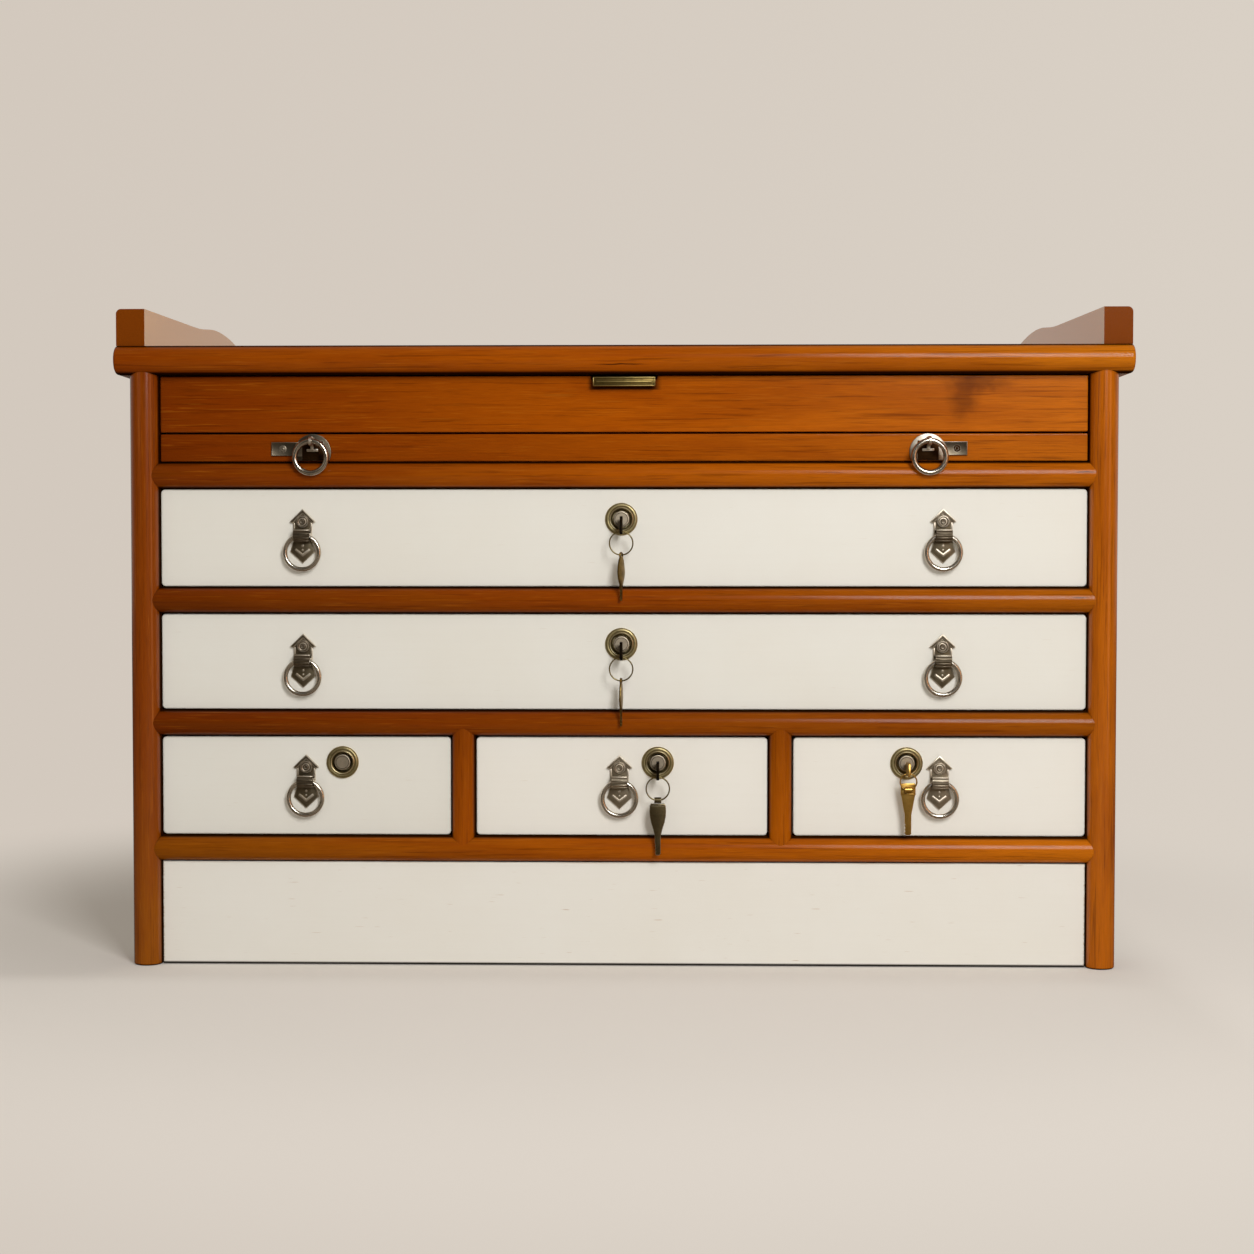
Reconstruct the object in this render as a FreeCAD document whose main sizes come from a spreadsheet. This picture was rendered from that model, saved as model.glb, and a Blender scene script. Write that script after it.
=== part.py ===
"""Tabletop chest of drawers: half-round hardwood frame, painted drawers, ring pulls and keyed locks.

Frame: +X to the right, +Y to the back, +Z up. The origin lies on the table, under the middle of the chest.
"""
import FreeCAD, Part
import math
import os

import Sketcher

# Driving sizes in millimetres, each written once
SIZES = [
    ("top_width", 708.0),
    ("top_thick", 20.2),
    ("top_lead", 4.5),
    ("top_end_round", 2.0),
    ("carcass_depth", 330.0),
    ("key_reach", 18.0),
    ("body_width", 690.0),
    ("post_width", 20.4),
    ("post_depth", 30.0),
    ("post_foot_round", 1.6),
    ("back_setback", 4.0),
    ("back_thick", 6.0),
    ("rail_height", 18.4),
    ("rail_depth", 22.0),
    ("rail_setback", 1.0),
    ("divider_width", 17.0),
    ("divider_spacing", 222.4),
    ("body_height", 415.0),
    ("small_row", 70.2),
    ("lower_row", 67.9),
    ("upper_row", 69.1),
    ("slide_row", 20.2),
    ("tray_row", 40.8),
    ("floor_gap", 0.5),
    ("plinth_thick", 12.0),
    ("plinth_lead", 2.0),
    ("plinth_side_gap", 0.6),
    ("side_rail_height", 19.0),
    ("side_rail_setback", 3.0),
    ("side_panel_thick", 9.0),
    ("side_panel_setback", 5.0),
    ("dust_thick", 8.0),
    ("guide_rise", 20.0),
    ("guide_drop", 14.0),
    ("gallery_thick", 20.0),
    ("gallery_inset", 0.2),
    ("gallery_front_rise", 25.8),
    ("gallery_mid_rise", 30.6),
    ("gallery_crest_rise", 36.4),
    ("gallery_rear_rise", 32.0),
    ("gallery_mid_run", 170.0),
    ("gallery_crest_run", 262.0),
    ("gallery_edge_round", 3.6),
    ("front_gap", 0.5),
    ("front_thick", 15.0),
    ("front_corner_round", 3.0),
    ("front_edge_round", 1.0),
    ("box_side_clear", 1.0),
    ("box_side_thick", 9.0),
    ("box_top_drop", 12.0),
    ("box_bottom_rise", 3.0),
    ("box_bottom_thick", 4.5),
    ("box_stop_gap", 0.5),
    ("slide_lip_thick", 16.0),
    ("slide_board_drop", 2.0),
    ("slide_board_clear", 0.5),
    ("slide_lip_gap", 0.5),
    ("tray_strip_width", 12.0),
    ("tray_strip_height", 12.0),
    ("tray_lip_gap", 0.8),
    ("edge_pull_width", 43.6),
    ("edge_pull_height", 6.6),
    ("edge_pull_drop", 1.2),
    ("edge_pull_offset", 1.6),
    ("edge_pull_margin", 1.5),
    ("edge_pull_metal", 1.5),
    ("edge_pull_finger", 5.0),
    ("edge_pull_leg", 9.0),
    ("long_pull_inset", 121.0),
    ("pull_drop", 32.8),
    ("small_pull_drop", 31.6),
    ("outer_pull_inset", 102.6),
    ("middle_pull_offset", 1.6),
    ("plate_thick", 1.2),
    ("plate_apex", 18.5),
    ("plate_eave_rise", 9.5),
    ("plate_eave_half", 9.1),
    ("plate_neck_half", 6.5),
    ("plate_neck_drop", 3.5),
    ("plate_tongue_half", 8.75),
    ("plate_tongue_drop", 11.5),
    ("plate_tongue_tip", 19.6),
    ("plate_bolt_rise", 9.6),
    ("bolt_head_radius", 4.2),
    ("bolt_head_height", 1.5),
    ("bolt_radius", 1.5),
    ("bolt_play", 0.1),
    ("bolt_nut_radius", 4.0),
    ("bolt_nut_height", 3.0),
    ("bolt_tail", 1.5),
    ("loop_width", 11.5),
    ("loop_wall", 0.8),
    ("loop_play", 0.3),
    ("ring_radius", 11.9),
    ("ring_wire", 1.6),
    ("left_slide_inset", 128.4),
    ("right_slide_inset", 131.8),
    ("slide_plate_thick", 1.5),
    ("slide_plate_radius", 12.9),
    ("slide_plate_drop", 13.3),
    ("slide_plate_lift", 0.6),
    ("left_tail_reach", 29.0),
    ("right_tail_reach", 27.3),
    ("slide_tail_height", 9.6),
    ("slide_tail_rise", 2.4),
    ("slide_pivot_drop", 6.0),
    ("slide_ring_radius", 11.05),
    ("slide_ring_wire", 1.9),
    ("slide_ring_play", 0.3),
    ("slide_ring_stand", 12.0),
    ("slide_lug_thick", 2.2),
    ("slide_lug_wall", 0.9),
    ("slide_foot_width", 8.4),
    ("slide_foot_height", 1.0),
    ("slide_foot_drop", 5.9),
    ("slide_pin_stand", 3.5),
    ("slide_screw_radius", 2.4),
    ("slide_screw_head", 1.0),
    ("slide_screw_core", 1.2),
    ("slide_screw_length", 11.0),
    ("long_lock_offset", 0.3),
    ("lock_drop", 21.5),
    ("small_lock_drop", 18.6),
    ("left_lock_inset", 76.9),
    ("right_lock_inset", 79.7),
    ("middle_lock_offset", 25.3),
    ("flange_radius", 11.4),
    ("flange_bore", 7.5),
    ("flange_base", 0.5),
    ("barrel_radius", 8.5),
    ("barrel_length", 21.0),
    ("barrel_play", 0.1),
    ("lock_nut_radius", 12.4),
    ("lock_nut_height", 4.0),
    ("plug_radius", 5.6),
    ("plug_play", 0.08),
    ("plug_stand", 1.9),
    ("plug_tail", 1.6),
    ("keyway_play", 0.15),
    ("keyway_rise", 1.8),
    ("keyway_end", 1.5),
    ("cam_reach", 28.0),
    ("cam_width", 9.0),
    ("cam_thick", 2.5),
    ("cam_gap", 0.5),
    ("cam_screw_radius", 3.0),
    ("cam_screw_height", 2.0),
    ("key_thick", 2.0),
    ("key_length", 38.0),
    ("key_head_half", 6.0),
    ("key_head_length", 11.0),
    ("key_taper_end", 20.0),
    ("key_neck_end", 16.8),
    ("key_blade_half", 1.8),
    ("key_drop", 2.2),
    ("key_hole_radius", 3.2),
    ("key_hole_depth", 5.4),
    ("key_head_rise", 2.0),
    ("key_hole_wall", 1.2),
    ("key_hole_drop", 6.6),
    ("right_key_hole_drop", 3.8),
    ("edge_key_length", 35.0),
    ("key_ring_radius", 8.0),
    ("right_key_ring_radius", 5.6),
    ("key_ring_wire", 0.6),
    ("key_ring_play", 0.3),
    ("eye_radius", 2.1),
    ("eye_bore", 1.5),
    ("eye_width", 5.0),
    ("middle_key_length", 38.4),
    ("right_key_length", 31.7),
    ("flat_key_half", 5.8),
    ("flat_key_thick", 1.8),
    ("flat_key_head", 10.0),
    ("flat_key_taper", 25.0),
    ("flat_key_blade_half", 2.0),
    ("flat_key_neck_half", 3.4),
]

# Angles at which the two edge-on spare keys hang, in degrees about the vertical
UPPER_KEY_TURN = 64.0
LOWER_KEY_TURN = 80.0

doc = FreeCAD.newDocument("Chest")
sheet = doc.addObject("Spreadsheet::Sheet", "Sizes")
for row, (alias, size) in enumerate(SIZES, start=1):
    sheet.set("A%d" % row, alias)
    sheet.set("B%d" % row, repr(size))
    sheet.setAlias("B%d" % row, alias)
doc.recompute()


class Dim:
    """A length: its number starts a shape, its expression text drives it."""

    def __init__(self, value, text):
        self.value = float(value)
        self.text = text

    @staticmethod
    def of(length):
        return length if isinstance(length, Dim) else Dim(length, "(%r)" % float(length))

    def __add__(self, other):
        other = Dim.of(other)
        return Dim(self.value + other.value, "(%s + %s)" % (self.text, other.text))

    def __sub__(self, other):
        other = Dim.of(other)
        return Dim(self.value - other.value, "(%s - %s)" % (self.text, other.text))

    def __rsub__(self, other):
        return Dim.of(other) - self

    def __mul__(self, other):
        other = Dim.of(other)
        return Dim(self.value * other.value, "(%s * %s)" % (self.text, other.text))

    def __truediv__(self, other):
        other = Dim.of(other)
        return Dim(self.value / other.value, "(%s / %s)" % (self.text, other.text))

    def __neg__(self):
        return Dim(-self.value, "(-1 * %s)" % self.text)

    __radd__ = __add__
    __rmul__ = __mul__


def size(alias):
    """The sheet's value of that name."""
    return Dim(sheet.get(alias), "Sizes.%s" % alias)


def drive(thing, path, length):
    """Bind one property to its expression."""
    thing.setExpression(path, Dim.of(length).text)


def put(thing, x, y, z):
    """Bind where a piece stands."""
    drive(thing, "Placement.Base.x", x)
    drive(thing, "Placement.Base.y", y)
    drive(thing, "Placement.Base.z", z)
    return thing


AXIS_TURN = {
    "x": FreeCAD.Rotation(FreeCAD.Vector(0, 1, 0), 90),
    "y": FreeCAD.Rotation(FreeCAD.Vector(1, 0, 0), -90),
    "z": FreeCAD.Rotation(),
}


def board(name, x0, x1, y0, y1, z0, z1):
    """A squared piece between six planes."""
    piece = doc.addObject("Part::Box", name)
    drive(piece, "Length", x1 - x0)
    drive(piece, "Width", y1 - y0)
    drive(piece, "Height", z1 - z0)
    return put(piece, x0, y0, z0)


def rod(name, axis, radius, length, x, y, z):
    """A round piece that starts at a point and runs along an axis."""
    piece = doc.addObject("Part::Cylinder", name)
    drive(piece, "Radius", radius)
    drive(piece, "Height", length)
    piece.Placement = FreeCAD.Placement(FreeCAD.Vector(), AXIS_TURN[axis])
    return put(piece, x, y, z)


def hoop(name, radius, wire, x, y, z):
    """A wire ring that hangs facing the front."""
    piece = doc.addObject("Part::Torus", name)
    drive(piece, "Radius1", radius)
    drive(piece, "Radius2", wire)
    piece.Placement = FreeCAD.Placement(FreeCAD.Vector(), AXIS_TURN["y"])
    return put(piece, x, y, z)


def nut(name, radius, bore, height, x, y, z):
    """A hexagon nut on a bolt that runs front to back."""
    block = doc.addObject("Part::Prism", name + "_block")
    block.Polygon = 6
    drive(block, "Circumradius", radius)
    drive(block, "Height", height)
    block.Placement = FreeCAD.Placement(FreeCAD.Vector(), AXIS_TURN["y"])
    put(block, x, y, z)
    return cut(name, block, rod(name + "_bore", "y", bore, height, x, y, z))


def cut(name, base, *tools):
    """The base less its tools."""
    piece = doc.addObject("Part::Cut", name)
    piece.Base = base
    piece.Tool = tools[0] if len(tools) == 1 else group(name + "_tools", tools)
    return piece


def fuse(name, *pieces):
    """Pieces made as one."""
    piece = doc.addObject("Part::MultiFuse", name)
    piece.Shapes = list(pieces)
    return piece


def group(name, pieces):
    """Separate solids that share a node."""
    piece = doc.addObject("Part::Compound", name)
    piece.Links = list(pieces)
    return piece


def new_body(name):
    return doc.addObject("PartDesign::Body", name)


def new_sketch(body, plane):
    """An empty sketch on one of the body's own planes."""
    sketch = body.newObject("Sketcher::SketchObject", body.Name + "_outline")
    face = next(f for f in body.Origin.OriginFeatures if f.Role == plane)
    sketch.AttachmentSupport = [(face, "")]
    sketch.MapMode = "FlatFace"
    return sketch


def pin(sketch, line, end, u, v):
    """Hold one corner of an outline at its two driven distances."""
    for kind, axis_line, length in (("DistanceX", -2, u), ("DistanceY", -1, v)):
        if Dim.of(length).value == 0.0:
            sketch.addConstraint(Sketcher.Constraint("PointOnObject", line, end, axis_line))
            continue
        at = sketch.addConstraint(Sketcher.Constraint(kind, line, end, Dim.of(length).value))
        drive(sketch, "Constraints[%d]" % at, length)


def outline(body, plane, corners, arcs=None):
    """A closed outline of straight runs, with arcs of a driven radius where `arcs` names them.

    An arc is given as (radius, turn): turn +1 runs counter-clockwise from its corner to the next.
    """
    sketch = new_sketch(body, plane)
    arcs = arcs or {}
    points = [FreeCAD.Vector(Dim.of(u).value, Dim.of(v).value, 0) for u, v in corners]
    ends = []
    for index, start in enumerate(points):
        stop = points[(index + 1) % len(points)]
        if index not in arcs:
            line = sketch.addGeometry(Part.LineSegment(start, stop), False)
            ends.append((line, 1, 2))
            continue
        radius, turn = arcs[index]
        first, last = (start, stop) if turn > 0 else (stop, start)
        chord = last - first
        rise = math.sqrt(max(Dim.of(radius).value ** 2 - (chord.Length / 2) ** 2, 0.0))
        side = FreeCAD.Vector(-chord.y, chord.x, 0).normalize()
        middle = (first + last) * 0.5 + side * rise
        circle = Part.Circle(middle, FreeCAD.Vector(0, 0, 1), Dim.of(radius).value)
        bow = Part.ArcOfCircle(circle, circle.parameter(first), circle.parameter(last))
        line = sketch.addGeometry(bow, False)
        ends.append((line, 1, 2) if turn > 0 else (line, 2, 1))
    for index, (line, start_end, stop_end) in enumerate(ends):
        following, next_start, next_stop = ends[(index + 1) % len(ends)]
        sketch.addConstraint(Sketcher.Constraint("Coincident", line, stop_end, following, next_start))
    for index, (u, v) in enumerate(corners):
        pin(sketch, ends[index][0], ends[index][1], u, v)
    for index, (radius, turn) in arcs.items():
        at = sketch.addConstraint(Sketcher.Constraint("Radius", ends[index][0], Dim.of(radius).value))
        drive(sketch, "Constraints[%d]" % at, radius)
    return sketch


def pad(body, sketch, length):
    feature = body.newObject("PartDesign::Pad", body.Name + "_pad")
    feature.Profile = sketch
    drive(feature, "Length", length)
    body.Tip = feature
    doc.recompute()
    return feature


def faces_towards(feature, direction):
    """Names of the flat faces that look one way."""
    names = []
    for index, face in enumerate(feature.Shape.Faces, start=1):
        if isinstance(face.Surface, Part.Plane) and face.normalAt(0, 0).isEqual(direction, 1e-4):
            names.append("Face%d" % index)
    return names


def edges_along(feature, direction):
    """Names of the straight edges that run one way."""
    names = []
    for index, edge in enumerate(feature.Shape.Edges, start=1):
        if not isinstance(edge.Curve, (Part.Line, Part.LineSegment)):
            continue
        run = edge.tangentAt(edge.FirstParameter)
        if abs(abs(run.dot(direction)) - 1) < 1e-6:
            names.append("Edge%d" % index)
    return names


def soften(body, feature, names, radius):
    """Round the named edges, or all edges of the named faces."""
    fillet = body.newObject("PartDesign::Fillet", body.Name + "_round")
    fillet.Base = (feature, names)
    drive(fillet, "Radius", radius)
    body.Tip = fillet
    doc.recompute()
    return fillet


def half_round_bar(name, plane, radius, depth, length, turn=0.0):
    """A bar of half-round section: the crown looks along the outline's -u, the flat stock lies behind it."""
    body = new_body(name)
    sketch = new_sketch(body, plane)
    r = radius.value
    d = depth.value
    low = sketch.addGeometry(Part.LineSegment(FreeCAD.Vector(0, -r, 0), FreeCAD.Vector(d, -r, 0)), False)
    back = sketch.addGeometry(Part.LineSegment(FreeCAD.Vector(d, -r, 0), FreeCAD.Vector(d, r, 0)), False)
    high = sketch.addGeometry(Part.LineSegment(FreeCAD.Vector(d, r, 0), FreeCAD.Vector(0, r, 0)), False)
    circle = Part.Circle(FreeCAD.Vector(), FreeCAD.Vector(0, 0, 1), r)
    crown = sketch.addGeometry(Part.ArcOfCircle(circle, math.pi / 2, 3 * math.pi / 2), False)
    for first, first_end, second, second_end in (
        (low, 2, back, 1), (back, 2, high, 1), (high, 2, crown, 1), (crown, 2, low, 1),
    ):
        sketch.addConstraint(Sketcher.Constraint("Coincident", first, first_end, second, second_end))
    sketch.addConstraint(Sketcher.Constraint("Coincident", crown, 3, -1, 1))
    sketch.addConstraint(Sketcher.Constraint("Horizontal", low))
    sketch.addConstraint(Sketcher.Constraint("Horizontal", high))
    sketch.addConstraint(Sketcher.Constraint("Vertical", back))
    sketch.addConstraint(Sketcher.Constraint("PointOnObject", crown, 1, -2))
    sketch.addConstraint(Sketcher.Constraint("PointOnObject", crown, 2, -2))
    at = sketch.addConstraint(Sketcher.Constraint("Radius", crown, r))
    drive(sketch, "Constraints[%d]" % at, radius)
    at = sketch.addConstraint(Sketcher.Constraint("DistanceX", back, 1, d))
    drive(sketch, "Constraints[%d]" % at, depth)
    feature = pad(body, sketch, length)
    body.Placement = FreeCAD.Placement(
        FreeCAD.Vector(), FreeCAD.Rotation(FreeCAD.Vector(0, 0, 1), turn))
    return body, feature


def faced_panel(name, x0, x1, z0, z1, y_face, thick, corner_round, edge_round):
    """A front panel with eased corners and a softened front face."""
    body = new_body(name)
    width = x1 - x0
    height = z1 - z0
    sketch = outline(body, "XZ_Plane", [(0, 0), (width, 0), (width, height), (0, height)])
    feature = pad(body, sketch, thick)
    if corner_round is not None:
        feature = soften(body, feature, edges_along(feature, FreeCAD.Vector(0, 1, 0)), corner_round)
    soften(body, feature, faces_towards(feature, FreeCAD.Vector(0, -1, 0)), edge_round)
    return put(body, x0, y_face + thick, z0)


parts = {}


def keep(label, piece):
    """Name a finished node."""
    piece.Label = label
    parts[label] = piece
    return piece


# Planes and levels that the pieces share
half_body = size("body_width") / 2
bay = half_body - size("post_width")
face = (size("key_reach") - size("carcass_depth")) / 2
back = face + size("carcass_depth")
rear_base = back - size("back_setback") - size("post_width") / 2
back_inner = rear_base - size("back_thick")
post_back = face + size("post_depth")
rear_post_front = rear_base - size("post_depth")
rail_face = face + size("rail_setback")
rail_back = face + size("rail_depth")
rail_half = size("rail_height") / 2

drawer_rows = size("small_row") + size("lower_row") + size("upper_row")
upper_rows = size("slide_row") + size("tray_row")
plinth_top = size("body_height") - drawer_rows - upper_rows - size("rail_height") * 4
small_base = plinth_top + size("rail_height")
small_top = small_base + size("small_row")
lower_base = small_top + size("rail_height")
lower_top = lower_base + size("lower_row")
upper_base = lower_top + size("rail_height")
upper_top = upper_base + size("upper_row")
slide_base = upper_top + size("rail_height")
slide_top = slide_base + size("slide_row")
top_under = slide_top + size("tray_row")
top_upper = top_under + size("top_thick")

# Top board with a half-round front edge
top_body, top_feature = half_round_bar(
    "top_bar", "YZ_Plane", size("top_thick") / 2, size("carcass_depth") + size("top_lead"),
    size("top_width"))
top_ends = faces_towards(top_feature, FreeCAD.Vector(1, 0, 0))
top_ends += faces_towards(top_feature, FreeCAD.Vector(-1, 0, 0))
soften(top_body, top_feature, top_ends, size("top_end_round"))
put(top_body, -(size("top_width") / 2), face - size("top_lead"), top_under + size("top_thick") / 2)
keep("top_board", top_body)

# Side galleries that rise to a crest near the back
gallery_length = size("carcass_depth") + size("top_lead")
gallery_step = (size("gallery_crest_run") - size("gallery_mid_run")) / 2
gallery_slope = (size("gallery_mid_rise") - size("gallery_front_rise")) / size("gallery_mid_run")
crest_gain = size("gallery_crest_rise") - size("gallery_mid_rise")
swell_slope = (crest_gain - gallery_slope * gallery_step / 2) / gallery_step
swell_run = size("gallery_mid_run") + gallery_step
swell_rise = size("gallery_crest_rise") - swell_slope * gallery_step / 2
rear_run = gallery_length - size("gallery_crest_run")
rear_fall = size("gallery_crest_rise") - size("gallery_rear_rise")


def gallery(label, x0, outer):
    """A plank on the top board; its outer top edge is rounded."""
    body = new_body(label + "_plank")
    corners = [
        (0, 0),
        (gallery_length, 0),
        (gallery_length, size("gallery_rear_rise")),
        (size("gallery_crest_run"), size("gallery_crest_rise")),
        (swell_run, swell_rise),
        (size("gallery_mid_run"), size("gallery_mid_rise")),
        (0, size("gallery_front_rise")),
    ]
    arcs = {
        2: ((rear_run * rear_run + rear_fall * rear_fall) / (2 * rear_fall), 1),
        3: (gallery_step / swell_slope, 1),
        4: (gallery_step / (swell_slope - gallery_slope), -1),
    }
    feature = pad(body, outline(body, "YZ_Plane", corners, arcs), size("gallery_thick"))
    put(body, x0, face - size("top_lead"), top_upper)
    wanted = 0.0 if outer < 0 else size("gallery_thick").value
    names = []
    for index, edge in enumerate(feature.Shape.Edges, start=1):
        middle = edge.valueAt((edge.FirstParameter + edge.LastParameter) / 2)
        on_side = all(abs(v.Point.x - wanted) < 1e-6 for v in edge.Vertexes)
        inside = 1e-6 < middle.y < gallery_length.value - 1e-6
        if on_side and inside and middle.z > 1e-6:
            names.append("Edge%d" % index)
    soften(body, feature, names, size("gallery_edge_round"))
    return body


half_top = size("top_width") / 2
keep("top_galleries", group("top_galleries", [
    gallery("gallery_left", size("gallery_inset") - half_top, -1),
    gallery("gallery_right", half_top - size("gallery_inset") - size("gallery_thick"), 1),
]))

# Corner posts: half-round to the front and to the back, scribed to the top board
post_radius = size("post_width") / 2
post_x = half_body - post_radius
posts = []
for side, sign in (("left", -1), ("right", 1)):
    bar, feature = half_round_bar(
        "front_bar_" + side, "XY_Plane", post_radius, size("post_depth"),
        top_under + size("top_thick") / 2, 90)
    soften(bar, feature, faces_towards(feature, FreeCAD.Vector(0, 0, -1)), size("post_foot_round"))
    put(bar, sign * post_x, face, 0)
    posts.append(cut("front_post_" + side, bar, top_body))
keep("front_posts", group("front_posts", posts))
rear = []
for side, sign in (("left", -1), ("right", 1)):
    bar, feature = half_round_bar(
        "rear_bar_" + side, "XY_Plane", post_radius, size("post_depth"), top_under, -90)
    soften(bar, feature, faces_towards(feature, FreeCAD.Vector(0, 0, -1)), size("post_foot_round"))
    rear.append(put(bar, sign * post_x, rear_base, 0))
keep("rear_posts", group("rear_posts", rear))

# Front rails, scribed to the posts
rails = {}
for label, base in (
    ("slide_rail", upper_top), ("middle_rail", lower_top),
    ("lower_rail", small_top), ("base_rail", plinth_top),
):
    bar, feature = half_round_bar(label + "_bar", "YZ_Plane", rail_half, rail_back - rail_face, post_x * 2)
    put(bar, -post_x, rail_face, base + rail_half)
    rails[label] = cut(label, bar, *posts)
keep("front_rails", group("front_rails", rails.values()))

# Upright dividers between the small drawers, scribed to the rails, with partitions behind them
divider_radius = size("divider_width") / 2
divider_x = size("divider_spacing") / 2
dividers = []
partitions = []
for side, sign in (("left", -1), ("right", 1)):
    bar, feature = half_round_bar(
        "divider_bar_" + side, "XY_Plane", divider_radius, rail_back - rail_face,
        size("small_row") + size("rail_height"), 90)
    put(bar, sign * divider_x, rail_face, small_base - rail_half)
    dividers.append(cut("divider_" + side, bar, rails["lower_rail"], rails["base_rail"]))
    partitions.append(board(
        "partition_" + side, sign * divider_x - divider_radius, sign * divider_x + divider_radius,
        rail_back, back_inner, small_base, lower_base - size("dust_thick")))
keep("drawer_dividers", group("drawer_dividers", dividers + partitions))

# Side frames: rails and panels between the posts
outer_rail = half_body - size("side_rail_setback")
outer_panel = half_body - size("side_panel_setback")
inner_panel = outer_panel - size("side_panel_thick")
high_rail_base = top_under - size("side_rail_height")
side_rails = []
side_panels = []
for side, sign in (("left", -1), ("right", 1)):
    rail_x = (bay, outer_rail) if sign > 0 else (-outer_rail, -bay)
    panel_x = (inner_panel, outer_panel) if sign > 0 else (-outer_panel, -inner_panel)
    for level, z0, z1 in (("low", plinth_top, small_base), ("high", high_rail_base, top_under)):
        side_rails.append(board(
            "side_rail_%s_%s" % (level, side), *rail_x, post_back, rear_post_front, z0, z1))
    for level, z0, z1 in (
        ("skirt", size("floor_gap"), plinth_top), ("main", small_base, high_rail_base),
    ):
        side_panels.append(board(
            "side_panel_%s_%s" % (level, side), *panel_x, post_back, rear_post_front, z0, z1))
keep("side_rails", group("side_rails", side_rails))
keep("side_panels", group("side_panels", side_panels))

# Back panel, plinth panel and the dust boards that the drawers run on
keep("back_panel", board("back_panel", -bay, bay, back_inner, rear_base, size("floor_gap"), top_under))
plinth_half = bay - size("plinth_side_gap")
plinth = faced_panel(
    "plinth_panel", -plinth_half, plinth_half, size("floor_gap"), plinth_top, face - size("plinth_lead"),
    size("plinth_thick"), None, size("front_edge_round"))
keep("plinth_panel", plinth)
dust = []
for name, level in (
    ("base", small_base), ("lower", lower_base), ("middle", upper_base), ("slide", slide_base),
):
    dust.append(board(
        "dust_" + name, -bay, bay, rail_back, back_inner, level - size("dust_thick"), level))
keep("dust_boards", group("dust_boards", dust))

# Guides beside the drawers, and the strips that carry the tray drawer
guides = []
for side, sign in (("left", -1), ("right", 1)):
    guide_x = (bay, inner_panel) if sign > 0 else (-inner_panel, -bay)
    strip_x = (bay - size("tray_strip_width"), bay) if sign > 0 else (-bay, size("tray_strip_width") - bay)
    for name, z0, z1 in (
        ("small", small_base, small_base + size("guide_rise")),
        ("lower", lower_base - size("guide_drop"), lower_base + size("guide_rise")),
        ("upper", upper_base - size("guide_drop"), upper_base + size("guide_rise")),
        ("slide", slide_base - size("guide_drop"), slide_top),
    ):
        guides.append(board(
            "guide_%s_%s" % (name, side), *guide_x, post_back, rear_post_front, z0, z1))
    guides.append(board(
        "tray_strip_" + side, *strip_x, face + size("slide_lip_thick"), back_inner,
        slide_top - size("tray_strip_height"), slide_top))
keep("drawer_guides", group("drawer_guides", guides))


def drawer_box(label, x0, x1, base, top):
    """Two sides, a back and a bottom, as separate boards behind a drawer front."""
    left = x0 + size("box_side_clear")
    right = x1 - size("box_side_clear")
    left_in = left + size("box_side_thick")
    right_in = right - size("box_side_thick")
    start = face + size("front_thick")
    end = back_inner - size("box_stop_gap")
    rim = top - size("box_top_drop")
    floor = base + size("box_bottom_rise")
    floor_top = floor + size("box_bottom_thick")
    boards = [
        board(label + "_left", left, left_in, start, end, base, rim),
        board(label + "_right", right_in, right, start, end, base, rim),
        board(label + "_back", left_in, right_in, end - size("box_side_thick"), end, floor_top, rim),
        board(label + "_bottom", left_in, right_in, start, end, floor, floor_top),
    ]
    return keep(label, group(label, boards))


def drawer_front(label, x0, x1, base, top, lock_at, pulls):
    """A painted front, bored for its lock and its pull bolts."""
    gap = size("front_gap")
    panel = faced_panel(
        label + "_panel", x0 + gap, x1 - gap, base + gap, top - gap, face, size("front_thick"),
        size("front_corner_round"), size("front_edge_round"))
    bores = [rod(
        label + "_lock_bore", "y", size("barrel_radius") + size("barrel_play"), size("front_thick"),
        lock_at[0], face, lock_at[1])]
    for index, (x, z) in enumerate(pulls):
        bores.append(rod(
            "%s_bolt_bore_%d" % (label, index), "y", size("bolt_radius") + size("bolt_play"),
            size("front_thick"), x, face, z + size("plate_bolt_rise")))
    return keep(label, cut(label, panel, *bores))


# The loop's bore clears the ring, which bends away from the axis towards the loop's ends
ring_at_ends = Dim(
    math.sqrt(size("ring_radius").value ** 2 - (size("loop_width").value / 2) ** 2),
    "sqrt(Sizes.ring_radius ^ 2 - (Sizes.loop_width / 2) ^ 2)")
ring_bend = size("ring_radius") - ring_at_ends
loop_bore = ring_bend + size("ring_wire") * size("ring_radius") / ring_at_ends + size("loop_play")
loop_outer = loop_bore + size("loop_wall")
loop_axis = face - loop_outer - size("bolt_play")


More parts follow.
